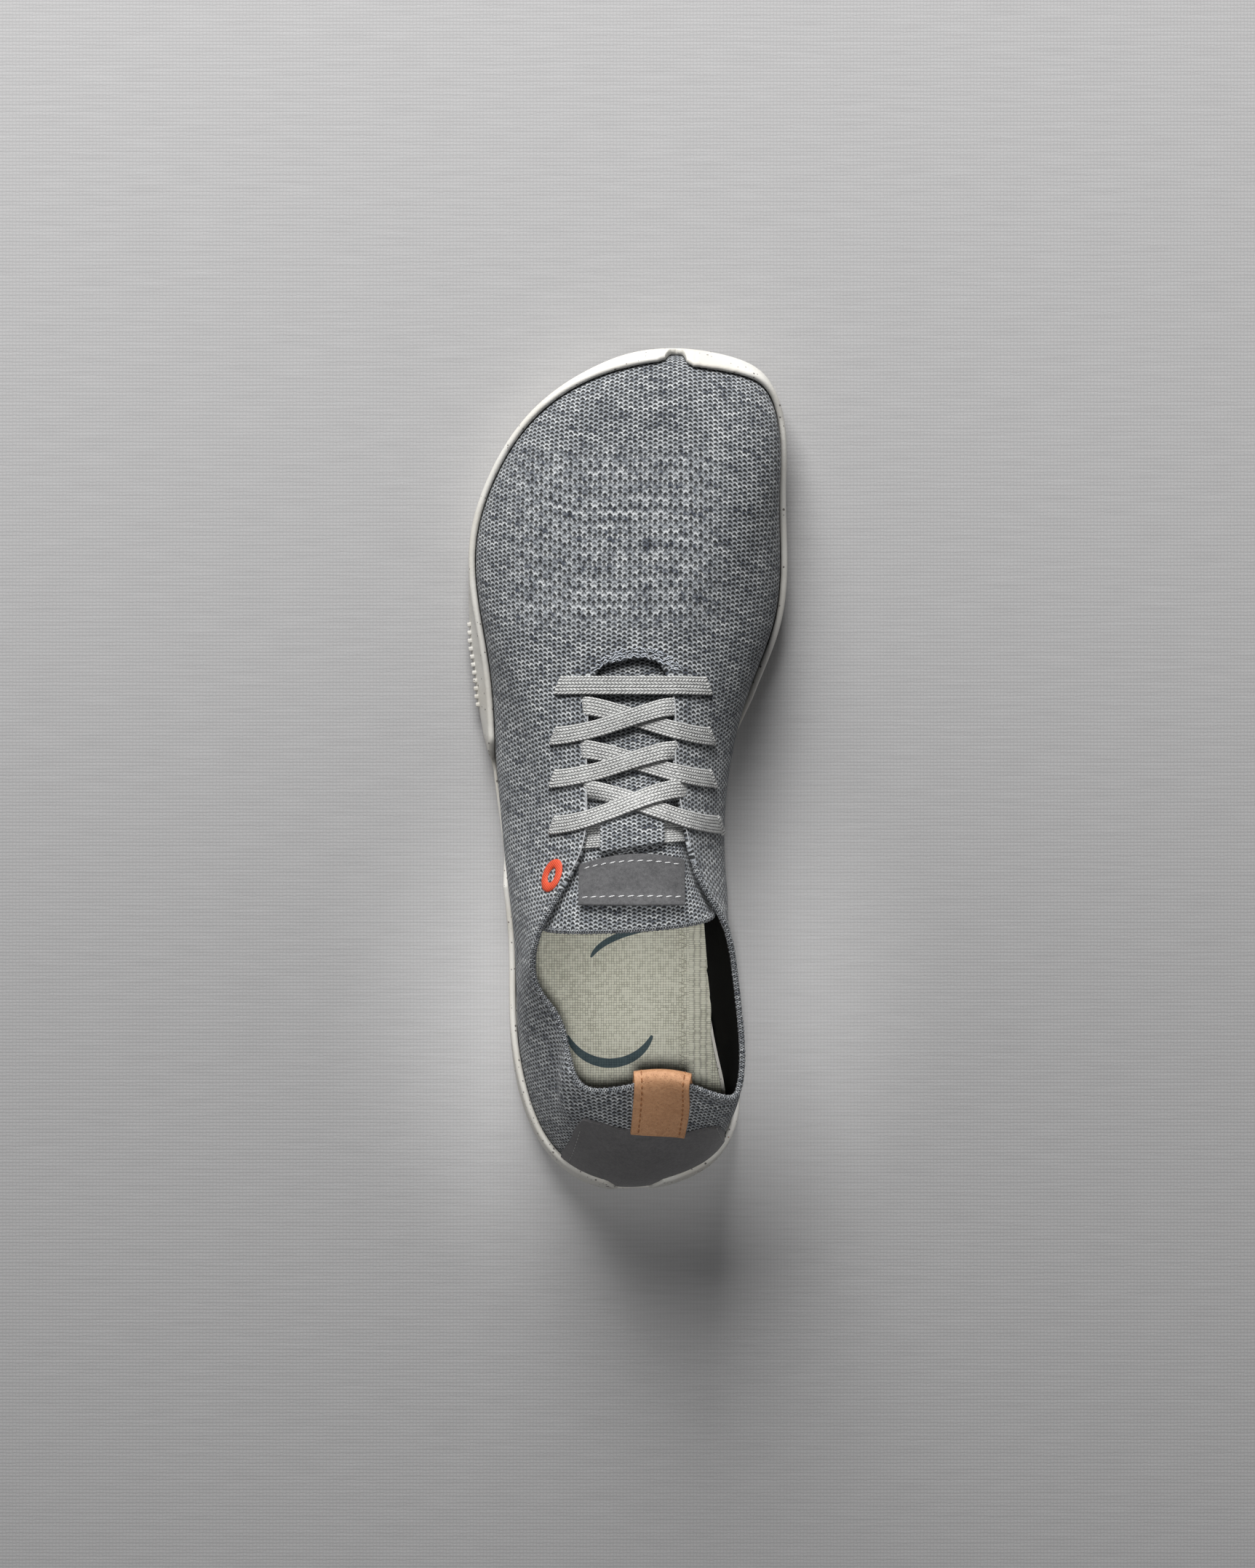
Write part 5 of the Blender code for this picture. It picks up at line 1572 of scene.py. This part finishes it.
@dataclass
class Insole:
    """The woven insole with its binding, its stitching and two plain printed arcs on the heel."""

    last: Last
    columns: int = 220
    wall: float = 0.0018
    gap: float = 0.0005
    clearance: float = 0.0014
    thickness: float = 0.0028
    level: float = 0.008
    strokes: tuple[tuple, ...] = (
        ((905.0, 1330.0), (96.0, 52.0), 195.0, 262.0, 9.0),
        ((838.0, 1404.0), (62.0, 58.0), 20.0, 160.0, 13.0),
    )
    piece: Optional[Piece] = None

    def build(self, weave: Material) -> Piece:
        """Models the insole's body with a rounded top edge."""
        last = self.last
        turns = np.arange(self.columns) / self.columns
        climb = np.full(self.columns, self.gap + self.thickness)
        shares = np.column_stack([np.zeros(self.columns), last.share_at_height(turns, climb)])
        sides = last.wall(turns, shares, -(self.wall + self.clearance))
        low, high = sides[:, 0, :2] - HEEL_TO_FRAME, sides[:, 1, :2] - HEEL_TO_FRAME
        bottom = last.sole_thickness + self.gap
        rings = [last.floor_ring(low, share, bottom) for share in (0.01, 0.3, 0.6, 0.85, 1.0)]
        rounded = ((1.0, 0.55), (0.998, 0.82), (0.99, 0.96), (0.975, 1.0))
        flat = tuple((share, 1.0) for share in (0.93, 0.85, 0.7, 0.5, 0.3, 0.1, 0.01))
        for share, lift in rounded + flat:
            rings.append(last.floor_ring(high, share, bottom + self.thickness * lift))
        points = capped(looped(last.home(np.array(rings))))
        piece = sheet("insole_weave", points, closed=True)
        self.piece = settle(piece, weave, ["insole"])
        return piece

    def build_binding(self, ribbed: Material) -> Piece:
        """The ribbed strip that binds the insole's edge on the arch's side."""
        skin = Skin([self.piece])
        downs = np.linspace(1236, 1512, 60)
        rows = []
        for down in downs:
            row = []
            for across in np.linspace(947, 977, 9):
                x, y = Camera.plan(across, down, 0.0085)
                height = skin.height(x, y)
                row.append((x, y, np.nan if height is None else height + 0.0002))
            rows.append(row)
        points = np.array(rows)
        heights = points[:, :, 2]
        for row in heights:
            good = np.where(~np.isnan(row))[0]
            last_good = good[-1] if len(good) else 0
            for k in range(len(row)):
                if np.isnan(row[k]):
                    row[k] = row[last_good] + 0.0004 * (k - last_good) ** 1.2
        heights += 0.0006 * np.sin(np.linspace(0, math.pi, 9))[None, :]
        piece = sheet("insole_binding", points, points[:, :, :2])
        turn_to(piece)
        thicken(piece, 0.0007, 0.0)
        return settle(piece, ribbed)

    def build_stitching(self, thread: Material) -> Piece:
        """The zigzag of stitches beside the binding, with short straight runs in it."""
        skin = Skin([self.piece])
        sewn = Stitches(0.0004, 0.0004)

        downs = np.linspace(1250, 1500, 46)
        for k in range(len(downs) - 1):
            left, right = (933, 944) if k % 2 == 0 else (944, 933)
            if k % 6 in (4, 5):
                left = right = 938
            start = skin.laid(left, downs[k] + 0.6, self.level, 0.0001)
            sewn.add(start, skin.laid(right, downs[k + 1] - 0.6, self.level, 0.0001), UP)
        return settle(sewn.piece("insole_stitching"), thread)

    def build_mark(self, ink: Material) -> Piece:
        """Two plain printed arcs on the insole."""
        skin = Skin([self.piece])
        made = []
        for number, (centre, half, low, high, width) in enumerate(self.strokes):
            rows = []
            turns = np.radians(np.linspace(low, high, 61))
            taper = np.sin(np.linspace(0.06, math.pi - 0.06, 61)) ** 0.5
            for side in (-0.5, 0.0, 0.5):
                row = []
                for turn, thick in zip(turns, taper * width * side):
                    across = centre[0] + (half[0] + thick) * math.cos(turn)
                    down = centre[1] + (half[1] + thick) * math.sin(turn)
                    row.append(skin.laid(across, down, self.level, 0.00006))
                rows.append(row)
            made.append(sheet(f"stroke_{number}", np.array(rows)))
        piece = join("insole_mark", made)
        turn_to(piece)
        return settle(piece, ink)


@dataclass
class Tongue:
    """The knitted tongue with its keeper and its looped end."""

    last: Last
    wall: float = 0.0022
    under_wall: float = 0.0018
    clearance: float = 0.0014
    rows: int = 96
    keeper_along: float = 0.435
    keeper_across: float = 0.016
    keeper_size: Pair = (0.0202, 0.0148)
    keeper_slant: float = 0.15
    keeper_lift: float = 0.0008
    keeper_arch: float = 0.0027
    piece: Optional[Piece] = None
    ends: Pairs = (
        (0.596, 0.596), (0.57, 0.57), (0.54, 0.54), (0.5, 0.5), (0.46, 0.46),
        (0.425, 0.425), (0.39, 0.394), (0.358, 0.368), (0.335, 0.35), (0.321, 0.34),
    )
    tuck: tuple[Triple, ...] = (
        (0.029, 0.099, 0.0), (0.018, 0.048, 0.0004), (0.009, 0.022, 0.0004), (0.003, 0.008, 0.0002),
    )
    tuck_slope: float = 0.27

    def row(self, lateral: float, medial: float) -> Array:
        """Points across the upper face between the throat's two edges.

        Args:
            lateral: how far along the row's end on the lateral side stands.
            medial: how far along its end on the medial side stands.

        Returns:
            The points, in the frame.
        """
        last = self.last
        under = self.under_wall + self.clearance
        shares = np.linspace(0.84, 1.0, 9)
        sides = []
        for along, side in zip((lateral, medial), Side):
            sides.append(last.wall([last.turn_at(along * last.length, side)], shares, -under)[0])
        left, right = sides[0], sides[1][::-1]
        span = np.linalg.norm(right[0] - left[-1])
        low = left[-1] + unit(left[-1] - left[-2]) * 0.36 * span
        high = right[0] + unit(right[0] - right[1]) * 0.36 * span
        t = np.linspace(0, 1, 43)[1:-1, None]
        return np.concatenate([left, arch_between(left[-1], low, high, right[0], t), right])

    def face(self) -> Array:
        """The upper face from under the vamp to the free end, with its corners rounded."""
        at = np.linspace(0, len(self.ends) - 1, self.rows)
        table = np.array(self.ends)
        places = np.arange(len(self.ends))
        rows = []
        for k in at:
            lateral, medial = (float(np.interp(k, places, table[:, n])) for n in range(2))
            rows.append(self.row(lateral, medial))
        across = rows[0][:, 0]
        aside = (2 * across - across[0] - across[-1]) / (across[-1] - across[0])
        tucked = []
        for ends, middle, drop in self.tuck:
            row = rows[0].copy()
            ahead = (ends + (middle - ends) * (1 - aside**2)) * self.last.length
            row[:, 1] += ahead
            row[:, 2] -= ahead * self.tuck_slope + drop
            tucked.append(row)
        points = np.array(tucked + rows)
        columns = points.shape[1]
        corner = np.abs(np.linspace(-1, 1, columns)) ** 10
        for k in range(1, 12):
            pull = (1 - k / 12) ** 2 * 0.0022
            points[-k, :, 1] += corner * pull
        return points

    def lay(self, points: Array) -> Array:
        """Coordinates for the knit: along the rows and down the columns, in metres."""
        columns = points.shape[1]
        across = np.array([run_along(line) for line in points])
        across -= across[:, columns // 2][:, None]
        middle = points[:, columns // 2]
        down = run_along(middle)
        return np.stack([across, np.repeat(-down[:, None], columns, axis=1)], axis=-1)

    def build(self, knit: Material) -> Piece:
        """Models the tongue's sheet."""
        points = self.face()
        piece = sheet("tongue_knit", points, self.lay(points))
        turn_to(piece, number=2000)
        thicken(piece, self.wall, 0.0008)
        self.piece = settle(piece, knit, ["tongue"])
        return piece

    def build_loops(self, knit: Material) -> Piece:
        """The looped edge along the tongue's free end."""
        end = self.face()[-1]
        path = row_of(end, 420) - np.array([0.0, 0.0002, self.wall * 0.45])
        run = run_along(path)
        beat = np.abs(np.sin(np.pi * run / 0.0016))
        radius = 0.00085 + 0.0003 * beat
        ends = smooth_step(0, 0.002, run) * smooth_step(run[-1], run[-1] - 0.002, run)
        piece = rope("tongue_loops", path, radius * (0.4 + 0.6 * ends), 8)
        return settle(piece, knit)

    def build_keeper(self, knit: Material) -> Piece:
        """The knitted panel that holds the lace's tails down."""
        skin = Skin([self.piece])
        width, length = self.keeper_size
        middle = self.keeper_along * self.last.length
        centre = self.keeper_across * self.last.ball
        rows = []
        for v in np.linspace(-0.5, 0.5, 34):
            arch = smooth_step(-0.53, -0.4, v) * smooth_step(0.5, 0.26, v) * self.keeper_arch
            row = []
            for u in np.linspace(-0.5, 0.5, 30):
                x = centre + u * width
                y = middle + v * length + u * width * self.keeper_slant
                x, y = self.last.home(np.array([x, y]))
                row.append((x, y, skin.height(x, y) + self.keeper_lift + float(arch)))
            rows.append(row)
        points = np.array(rows)
        piece = sheet("keeper_knit", points, points[:, :, :2])
        turn_to(piece)
        thicken(piece, 0.0013, 0.0004)
        return settle(piece, knit, ["tongue_keeper"])


@dataclass
class Label:
    """The bare suede label across the tongue, sewn with two rows of dashes."""

    last: Last
    width: float = 0.0335
    length: float = 0.0145
    arch: float = 0.003
    loose: float = 0.0012
    thickness: float = 0.0011
    along: float = 0.3735
    across: float = 0.014
    gap: float = 0.0017

    def point(self, skin: Skin, u: float, v: float) -> Array:
        """A point of its upper face, from shares across and along it."""
        bow = (0.5 - 4 * (u - 0.08) ** 2 * 0.9) * self.arch * (v + 0.5)
        x = self.across * self.last.ball + u * self.width
        y = self.along * self.last.length + v * self.length + bow
        x, y = self.last.home(np.array([x, y]))
        loose = float(smooth_step(-0.15, -0.5, v)) * self.loose
        wave = 0.00018 * math.sin(u * 17.0) * max(0.0, -v)
        return np.array([x, y, skin.height(x, y) + self.gap + loose + wave])

    def build(
        self, tongue: Piece, suede: Material, thread: Material
    ) -> Piece:
        """Models the label and sews it.

        Args:
            tongue: what it lies on.
            suede: its material.
            thread: the stitches' material.

        Returns:
            The label.
        """
        skin = Skin([tongue])
        grid = [
            [self.point(skin, u, v) for u in np.linspace(-0.5, 0.5, 60)]
            for v in np.linspace(-0.5, 0.5, 28)
        ]
        piece = sheet("label_suede", np.array(grid))
        turn_to(piece)
        thicken(piece, self.thickness, 0.00035)
        sewn = Stitches(0.00046, 0.00042)
        face = Skin([piece])
        for v, low, high in ((0.355, -0.44, 0.44), (-0.325, -0.46, 0.46)):
            path = []
            for u in np.linspace(low, high, 50):
                place = self.point(skin, u, v)
                path.append((place[0], place[1], face.height(place[0], place[1]) + 0.0001))
            sewn.row(np.array(path), np.tile(UP, (50, 1)), 0.0019, 0.001, slant=0.16)
        settle(sewn.piece("label_stitches"), thread)
        return settle(piece, suede, ["tongue_label"])


@dataclass
class Heel:
    """The suede patch round the heel and the leather pull tab over the collar."""

    last: Last
    sewn_gap: float = 0.0003
    patch_thickness: float = 0.001
    patch_seams: tuple[tuple[float, ...], ...] = (
        (0.2, 0.645, 0.4725, 0.479), (0.24, 0.6, 0.5625, 0.558),
    )
    tab_thickness: float = 0.0012
    tab_rise: float = 0.0056
    tab_foot: Pair = (0.506, 0.537)
    tab_head: Pair = (0.507, 0.547)
    tab_foot_shares: Pair = (0.715, 0.605)
    patch_top: Pairs = (
        (0.467, 0.24), (0.47, 0.36), (0.473, 0.49), (0.4755, 0.64), (0.48, 0.765),
        (0.491, 0.757), (0.5, 0.717), (0.512, 0.69), (0.524, 0.645), (0.539, 0.595),
        (0.551, 0.605), (0.5575, 0.6), (0.5605, 0.56), (0.5635, 0.44),
    )

    def build_patch(self, suede: Material) -> Piece:
        """The patch, from just over the rim up to its own top edge."""
        last = self.last
        table = np.array(self.patch_top)
        turns = np.linspace(table[0, 0], table[-1, 0], 110)
        low = last.share_at_height(turns, last.rim(turns)[0] * 0.9 + 0.0002)
        high = np.interp(turns, table[:, 0], table[:, 1])
        shares = low[:, None] + (high - low)[:, None] * np.linspace(0, 1, 40)
        points = last.wall(turns, shares, self.sewn_gap + self.patch_thickness)
        piece = sheet("patch_suede", points)
        turn_to(piece, (0, -1, 0), 2000)
        thicken(piece, self.patch_thickness, 0.0004)
        return settle(piece, suede, ["heel_patch"])

    def build_patch_stitches(self, thread: Material) -> Piece:
        """The fine stitch rows just inside the patch's two short edges."""
        sewn = Stitches(0.00032, 0.0003)
        for low, high, turn_low, turn_high in self.patch_seams:
            steps = np.linspace(0, 1, 30)
            turns = turn_low + (turn_high - turn_low) * steps
            shares = (low + (high - low) * steps)[:, None]
            out = self.sewn_gap + self.patch_thickness
            path = self.last.wall(turns, shares, out + 0.00008)[:, 0]
            normals = unit(path - self.last.wall(turns, shares, 0.0)[:, 0])
            sewn.row(path, normals, 0.0016, 0.0007)
        return settle(sewn.piece("patch_stitches"), thread)

    def build_tab(
        self, leather: Material, thread: Material
    ) -> Piece:
        """The pull tab, folded over the collar and standing up in a low loop."""
        last = self.last
        foot, head = np.linspace(*self.tab_foot, 26), np.linspace(*self.tab_head, 26)
        lift = self.sewn_gap * 2 + self.patch_thickness + 0.0003
        low = np.linspace(*self.tab_foot_shares, 26)
        legs = []
        for rise in np.linspace(0, 1, 40):
            shares = (low + (1 - low) * rise)[:, None]
            legs.append(last.wall(foot + (head - foot) * rise, shares, lift)[:, 0])
        outer, columns = np.stack(legs, axis=1), head
        inner = last.wall(columns, np.linspace(1.0, 0.86, 14), -(0.0018 + 0.0005))
        paths = []
        for out_leg, in_leg in zip(outer, inner):
            upward = unit(out_leg[-1] - out_leg[-4])
            across = in_leg[0] - out_leg[-1]
            fold = []
            for angle in np.linspace(0, math.pi, 20)[1:-1]:
                step = out_leg[-1] + across * (1 - math.cos(angle)) / 2
                fold.append(step + upward * self.tab_rise * math.sin(angle) ** 0.8)
            paths.append(np.concatenate([out_leg, fold, in_leg]))
        near = np.array(paths)
        normal = unit(np.cross(np.gradient(near, axis=0), np.gradient(near, axis=1)))
        points = near + normal * self.tab_thickness
        curl = np.linspace(-1, 1, len(columns)) ** 4
        points += normal * (curl * 0.00025)[:, None, None]
        piece = sheet("tab_leather", points)
        middle = len(columns) // 2
        turn_to(piece, normal[0, middle], middle)
        thicken(piece, self.tab_thickness, 0.00035)
        sewn = Stitches(0.00055, 0.0005)
        for column in (3, len(columns) - 4):
            path = points[column, 3:-6] + normal[column, 3:-6] * 0.0001
            sewn.row(path, normal[column, 3:-6], 0.0017, 0.0008)
        settle(sewn.piece("tab_stitches"), thread)
        return settle(piece, leather, ["pull_tab"])


@dataclass
class Laces:
    """The flat lace: one bar, three crossings and two tails."""

    last: Last
    upper: Upper
    width: float = 0.006
    thickness: float = 0.00115
    clearance: float = 0.00015
    bend: float = 0.0006
    dive: float = 0.0036
    stations: int = 60
    bar_along: float = 0.596
    crossings: Pairs = ((0.538, 0.574), (0.489, 0.524), (0.436, 0.48))
    tails: Pairs = ((0.4313, 0.4429), (0.415, 0.4266))
    tail_width: float = 0.0044
    end_slant: float = 0.0022
    flap_depth: float = 0.0045

    def taut(self, run: Array, heights: Array) -> Array:
        """Heights of a string drawn tight over those heights."""
        kept: list[Pair] = []
        for point in zip(run, heights):
            while len(kept) > 1:
                (ax, az), (bx, bz) = kept[-2], kept[-1]
                if (bx - ax) * (point[1] - az) - (bz - az) * (point[0] - ax) < 0:
                    break
                kept.pop()
            kept.append(point)
        return np.interp(run, *np.array(kept).T)

    def at_slit(self, along: float, side: Side) -> Array:
        """A strip's three lines where they meet its slit, in plan."""
        x, y = self.upper.slit_place(along, side)
        x -= side.value * (self.bend + self.thickness / 2)
        shifts = np.array([-0.5, 0.0, 0.5])
        across = x - side.value * shifts * self.end_slant
        return self.last.home(np.column_stack([across, y + shifts * self.width]))

    def at_edge(self, along: float, side: Side, width: float, beyond: float) -> Array:
        """A strip's three lines where they pass under the throat's edge, in plan."""
        last = self.last
        edges = [last.throat_edge(along * last.length + k * width, side) for k in (-0.5, 0, 0.5)]
        return last.home(np.array(edges)[:, :2] + (side.value * beyond, 0.0))

    def strip(
        self,
        name: str,
        starts: Sequence[Array],
        ends: Sequence[Array],
        skin: Callable[[float, float, float], float],
        dives: tuple[bool, bool],
        bow: float = 0.0,
    ) -> Piece:
        """One flat run of lace.

        Args:
            name: the piece's name.
            starts: places in plan of its near edge, middle and far edge.
            ends: the same at its other end.
            skin: height of what it lies on, from x, y and the share of the way.
            dives: whether it turns down through a slit at each end.
            bow: how far its way swings aside from straight, as a share of its rise.

        Returns:
            The piece, not yet dressed.
        """
        fine = np.linspace(0, 1, self.stations)
        eased = fine * (1 - bow) + smooth_step(0.0, 1.0, fine) * bow
        lines = []
        for start, end in zip(starts, ends):
            path = start + np.column_stack([fine, eased]) * (end - start)
            heights = np.array([skin(x, y, t) for (x, y), t in zip(path, fine)])
            lines.append(np.column_stack([path, self.taut(fine, heights) + self.clearance]))
        lines[1][:, 2] = np.maximum(lines[1][:, 2], (lines[0][:, 2] + lines[2][:, 2]) / 2)
        lines = [self.soften(line) for line in lines]
        if dives[1]:
            lines = [np.concatenate([line, self.turn_down(line[-1], line[-4])]) for line in lines]
        if dives[0]:
            downs = [self.turn_down(line[0], line[3])[::-1] for line in lines]
            lines = [np.concatenate([down, line]) for down, line in zip(downs, lines)]
        near, centre, far = (np.array(line) for line in lines)
        ahead = unit(np.gradient(centre, axis=0))
        upward = unit(np.cross(far - near, ahead))
        if upward[len(upward) // 2, 2] < 0:
            upward = -upward
        turn = np.linspace(0, 2 * math.pi, 25)
        aside = np.sign(np.cos(turn)) * np.abs(np.cos(turn)) ** 0.45
        lift = 0.5 + 0.5 * np.sign(np.sin(turn)) * np.abs(np.sin(turn)) ** 0.6
        sections = []
        for c, z in zip(aside, lift):
            a, b = c * (c - 1) / 2, c * (c + 1) / 2
            place = near * a + centre * (1 - c * c) + far * b
            sections.append(place + upward * z * self.thickness)
        run = np.pad(run_along(centre), 1, mode="edge")
        plan = np.stack(np.meshgrid((aside + 1) / 2 * self.width, run), axis=-1)
        return sheet(name, capped(np.stack(sections, axis=1)), plan, closed=True)

    def soften(self, line: Array) -> Array:
        """Rounds the corners in a line's heights, never letting it sink."""
        heights = line[:, 2].copy()
        for _ in range(6):
            eased = heights.copy()
            eased[1:-1] = (heights[:-2] + 2 * heights[1:-1] + heights[2:]) / 4
            heights = np.maximum(eased, line[:, 2])
        return np.column_stack([line[:, :2], heights])

    def turn_down(self, end: Array, before: Array) -> Array:
        """Points that carry a line on round a bend and down into its slit."""
        ahead = unit(end - before)
        flat = unit(np.array([ahead[0], ahead[1], 0.0]))
        made = []
        for angle in np.linspace(0, math.pi / 2, 6)[1:]:
            turned = flat * math.sin(angle) - UP * (1 - math.cos(angle))
            made.append(end + turned * self.bend)
        made.append(made[-1] - UP * self.dive * 0.5)
        made.append(made[-1] - UP * self.dive * 0.5)
        return np.array(made)

    def build(
        self, tongue: Piece, keeper: Piece, braid: Material
    ) -> list[Piece]:
        """Runs the lace through its slits and under the flaps.

        Args:
            tongue: the tongue, which it lies on between the flaps.
            keeper: the panel that its tails pass under.
            braid: its material.

        Returns:
            The pieces.
        """
        top = Skin([self.upper.piece, tongue, keeper])
        low = Skin([tongue])
        made = []

        def over(x: float, y: float, share: float) -> float:
            """Height of the shoe's top."""
            return top.height(x, y)

        def resting(x: float, y: float, share: float) -> float:
            """Height of the tongue, or of where it would be."""
            return low.height(x, y) or top.height(x, y) - self.flap_depth

        ends = [self.at_slit(self.bar_along, side) for side in Side]
        bar = self.strip("lace_bar", *ends, over, (True, True))
        made.append(settle(bar, braid, ["lace_bar_1"]))
        for number, (slit, edge) in enumerate(self.crossings, start=2):
            strips = []
            for side in Side:
                start = self.at_edge(edge, side, self.width, self.flap_depth)
                end = self.at_slit(slit, Side(-side.value))
                crossed = Skin([strips[0]]) if strips else None
                edges = self.at_edge(edge, side, self.width, -0.0006)[1]
                hidden = abs(edges[0] - start[1][0]) / abs(end[1][0] - start[1][0])

                def lying(x: float, y: float, share: float) -> float:
                    """Height of what the strip lies on, the tongue while under the flap."""
                    if share < hidden:
                        return resting(x, y, share)
                    height = top.height(x, y)
                    under = crossed.height(x, y) if crossed else None
                    return height if under is None else max(height, under)

                label = "under" if side is Side.LATERAL else "over"
                name = f"lace_{label}_{number}"
                strips.append(self.strip(name, start, end, lying, (False, True), 0.8))
            made.append(settle(strips[0], braid, [f"lace_cross_{number}"]))
            made.append(settle(strips[1], braid))
        for number, (lateral, medial) in enumerate(self.tails, start=1):
            start = self.at_edge(lateral, Side.LATERAL, self.tail_width, 0.004)
            end = self.at_edge(medial, Side.MEDIAL, self.tail_width, 0.004)

            tail = self.strip(f"lace_end_{number}", start, end, resting, (False, False))
            made.append(settle(tail, braid, [f"lace_tail_{number}"]))
        return made


@dataclass
class Studio:
    """The pale floor, the soft lights and the camera."""

    key_place: Triple = (-0.22, 1.22, 0.76)
    key_size: float = 0.8
    key_power: float = 31.5
    fill_strength: float = 0.135
    heel_place: Triple = (0.003, -0.077, 0.95)
    heel_power: float = 23.0
    heel_cone: float = 8.4

    def build(self) -> None:
        """Sets the studio up."""
        Camera().build()
        clear()
        bpy.ops.mesh.primitive_plane_add(size=6.0)
        floor = bpy.context.object
        floor.name = "studio_floor"
        floor.data.materials.append(FloorFinish("floor_cloth").build())
        size = {"shape": "SQUARE", "size": self.key_size}
        key = self.add_light("key_light", "AREA", self.key_place, self.key_power, size)
        key.rotation_mode = "QUATERNION"
        key.rotation_quaternion = (-Vector(self.key_place)).to_track_quat("-Z", "Y")
        cone = {"spot_size": math.radians(self.heel_cone), "spot_blend": 0.7}
        soft = {"shadow_soft_size": 0.05}
        self.add_light("heel_light", "SPOT", self.heel_place, self.heel_power, cone | soft)
        world = bpy.data.worlds.new("studio")
        bpy.context.scene.world = world
        world.use_nodes = True
        back = world.node_tree.nodes["Background"]
        back.inputs["Color"].default_value = (0.97, 0.98, 1.0, 1.0)
        back.inputs["Strength"].default_value = self.fill_strength
        bpy.context.scene.view_settings.view_transform = "Standard"

    @staticmethod
    def add_light(
        name: str, kind: str, place: Sequence[float], power: float, settings: dict
    ) -> Piece:
        """Adds a soft light that looks straight down.

        Args:
            name: its name.
            kind: its type.
            place: where it stands.
            power: its power in watts.
            settings: its own properties.

        Returns:
            The light.
        """
        clear()
        bpy.ops.object.light_add(type=kind, location=place)
        light = bpy.context.object
        light.name = name
        for label, value in (settings | {"energy": power}).items():
            setattr(light.data, label, value)
        return light


def main() -> None:
    """Builds every piece of the shoe in order and dresses it."""
    logging.basicConfig(level=logging.INFO, format="%(name)s: %(message)s")
    last = Last()
    knit = KnitFinish("upper_yarn", ribbed_along=(0.074, 0.024)).build()
    tongue_knit = KnitFinish("tongue_yarn", wale=0.00155, course=0.0012).build()
    lining = LiningFinish().build()
    Outsole(last).build(RubberFinish().build())
    upper = Upper(last)
    upper.build(knit, lining)
    upper.build_loops(KnitFinish("collar_yarn", wale=0.0009, course=0.0008).build())
    upper.build_piping(ThreadFinish("piping_thread", (0.46, 0.47, 0.48)).build())
    upper.build_throat_band(ThreadFinish("tack_thread", (0.66, 0.7, 0.76), 0.28).build())
    upper.build_ring(ThreadFinish("ring_thread", (0.76, 0.085, 0.028), 0.6).build())
    insole = Insole(last)
    insole.build(WeaveFinish().build())
    insole.build_binding(WeaveFinish("insole_binding", 0.0007, (0.35, 1.0, 1.0)).build())
    insole.build_stitching(ThreadFinish("insole_thread", (0.6, 0.58, 0.46)).build())
    ink = WeaveFinish("insole_ink", dark=(0.045, 0.075, 0.085), light=(0.085, 0.125, 0.135))
    insole.build_mark(ink.build())
    tongue = Tongue(last)
    tongue.build(tongue_knit)
    tongue.build_loops(KnitFinish("tongue_edge_yarn", wale=0.0009, course=0.0008).build())
    keeper = tongue.build_keeper(tongue_knit)
    white = ThreadFinish("white_thread", (0.72, 0.72, 0.72)).build()
    suede = NapFinish("label_suede", (0.04, 0.04, 0.042), (0.122, 0.121, 0.124)).build()
    patch = NapFinish("patch_suede", (0.064, 0.062, 0.063), (0.135, 0.13, 0.132)).build()
    Label(last).build(tongue.piece, suede, white)
    heel = Heel(last)
    heel.build_patch(patch)
    heel.build_patch_stitches(ThreadFinish("patch_thread", (0.34, 0.34, 0.33)).build())
    tan = (0.37, 0.176, 0.08), (0.6, 0.33, 0.175)
    leather = NapFinish("tab_leather", *tan, relief=0.00016, roughness=0.62, sheen=0.0, pores=0.5)
    heel.build_tab(leather.build(), ThreadFinish("tab_thread", (0.36, 0.15, 0.055)).build())
    Laces(last, upper).build(tongue.piece, keeper, BraidFinish().build())
    Studio().build()


if __name__ == "__main__":
    main()
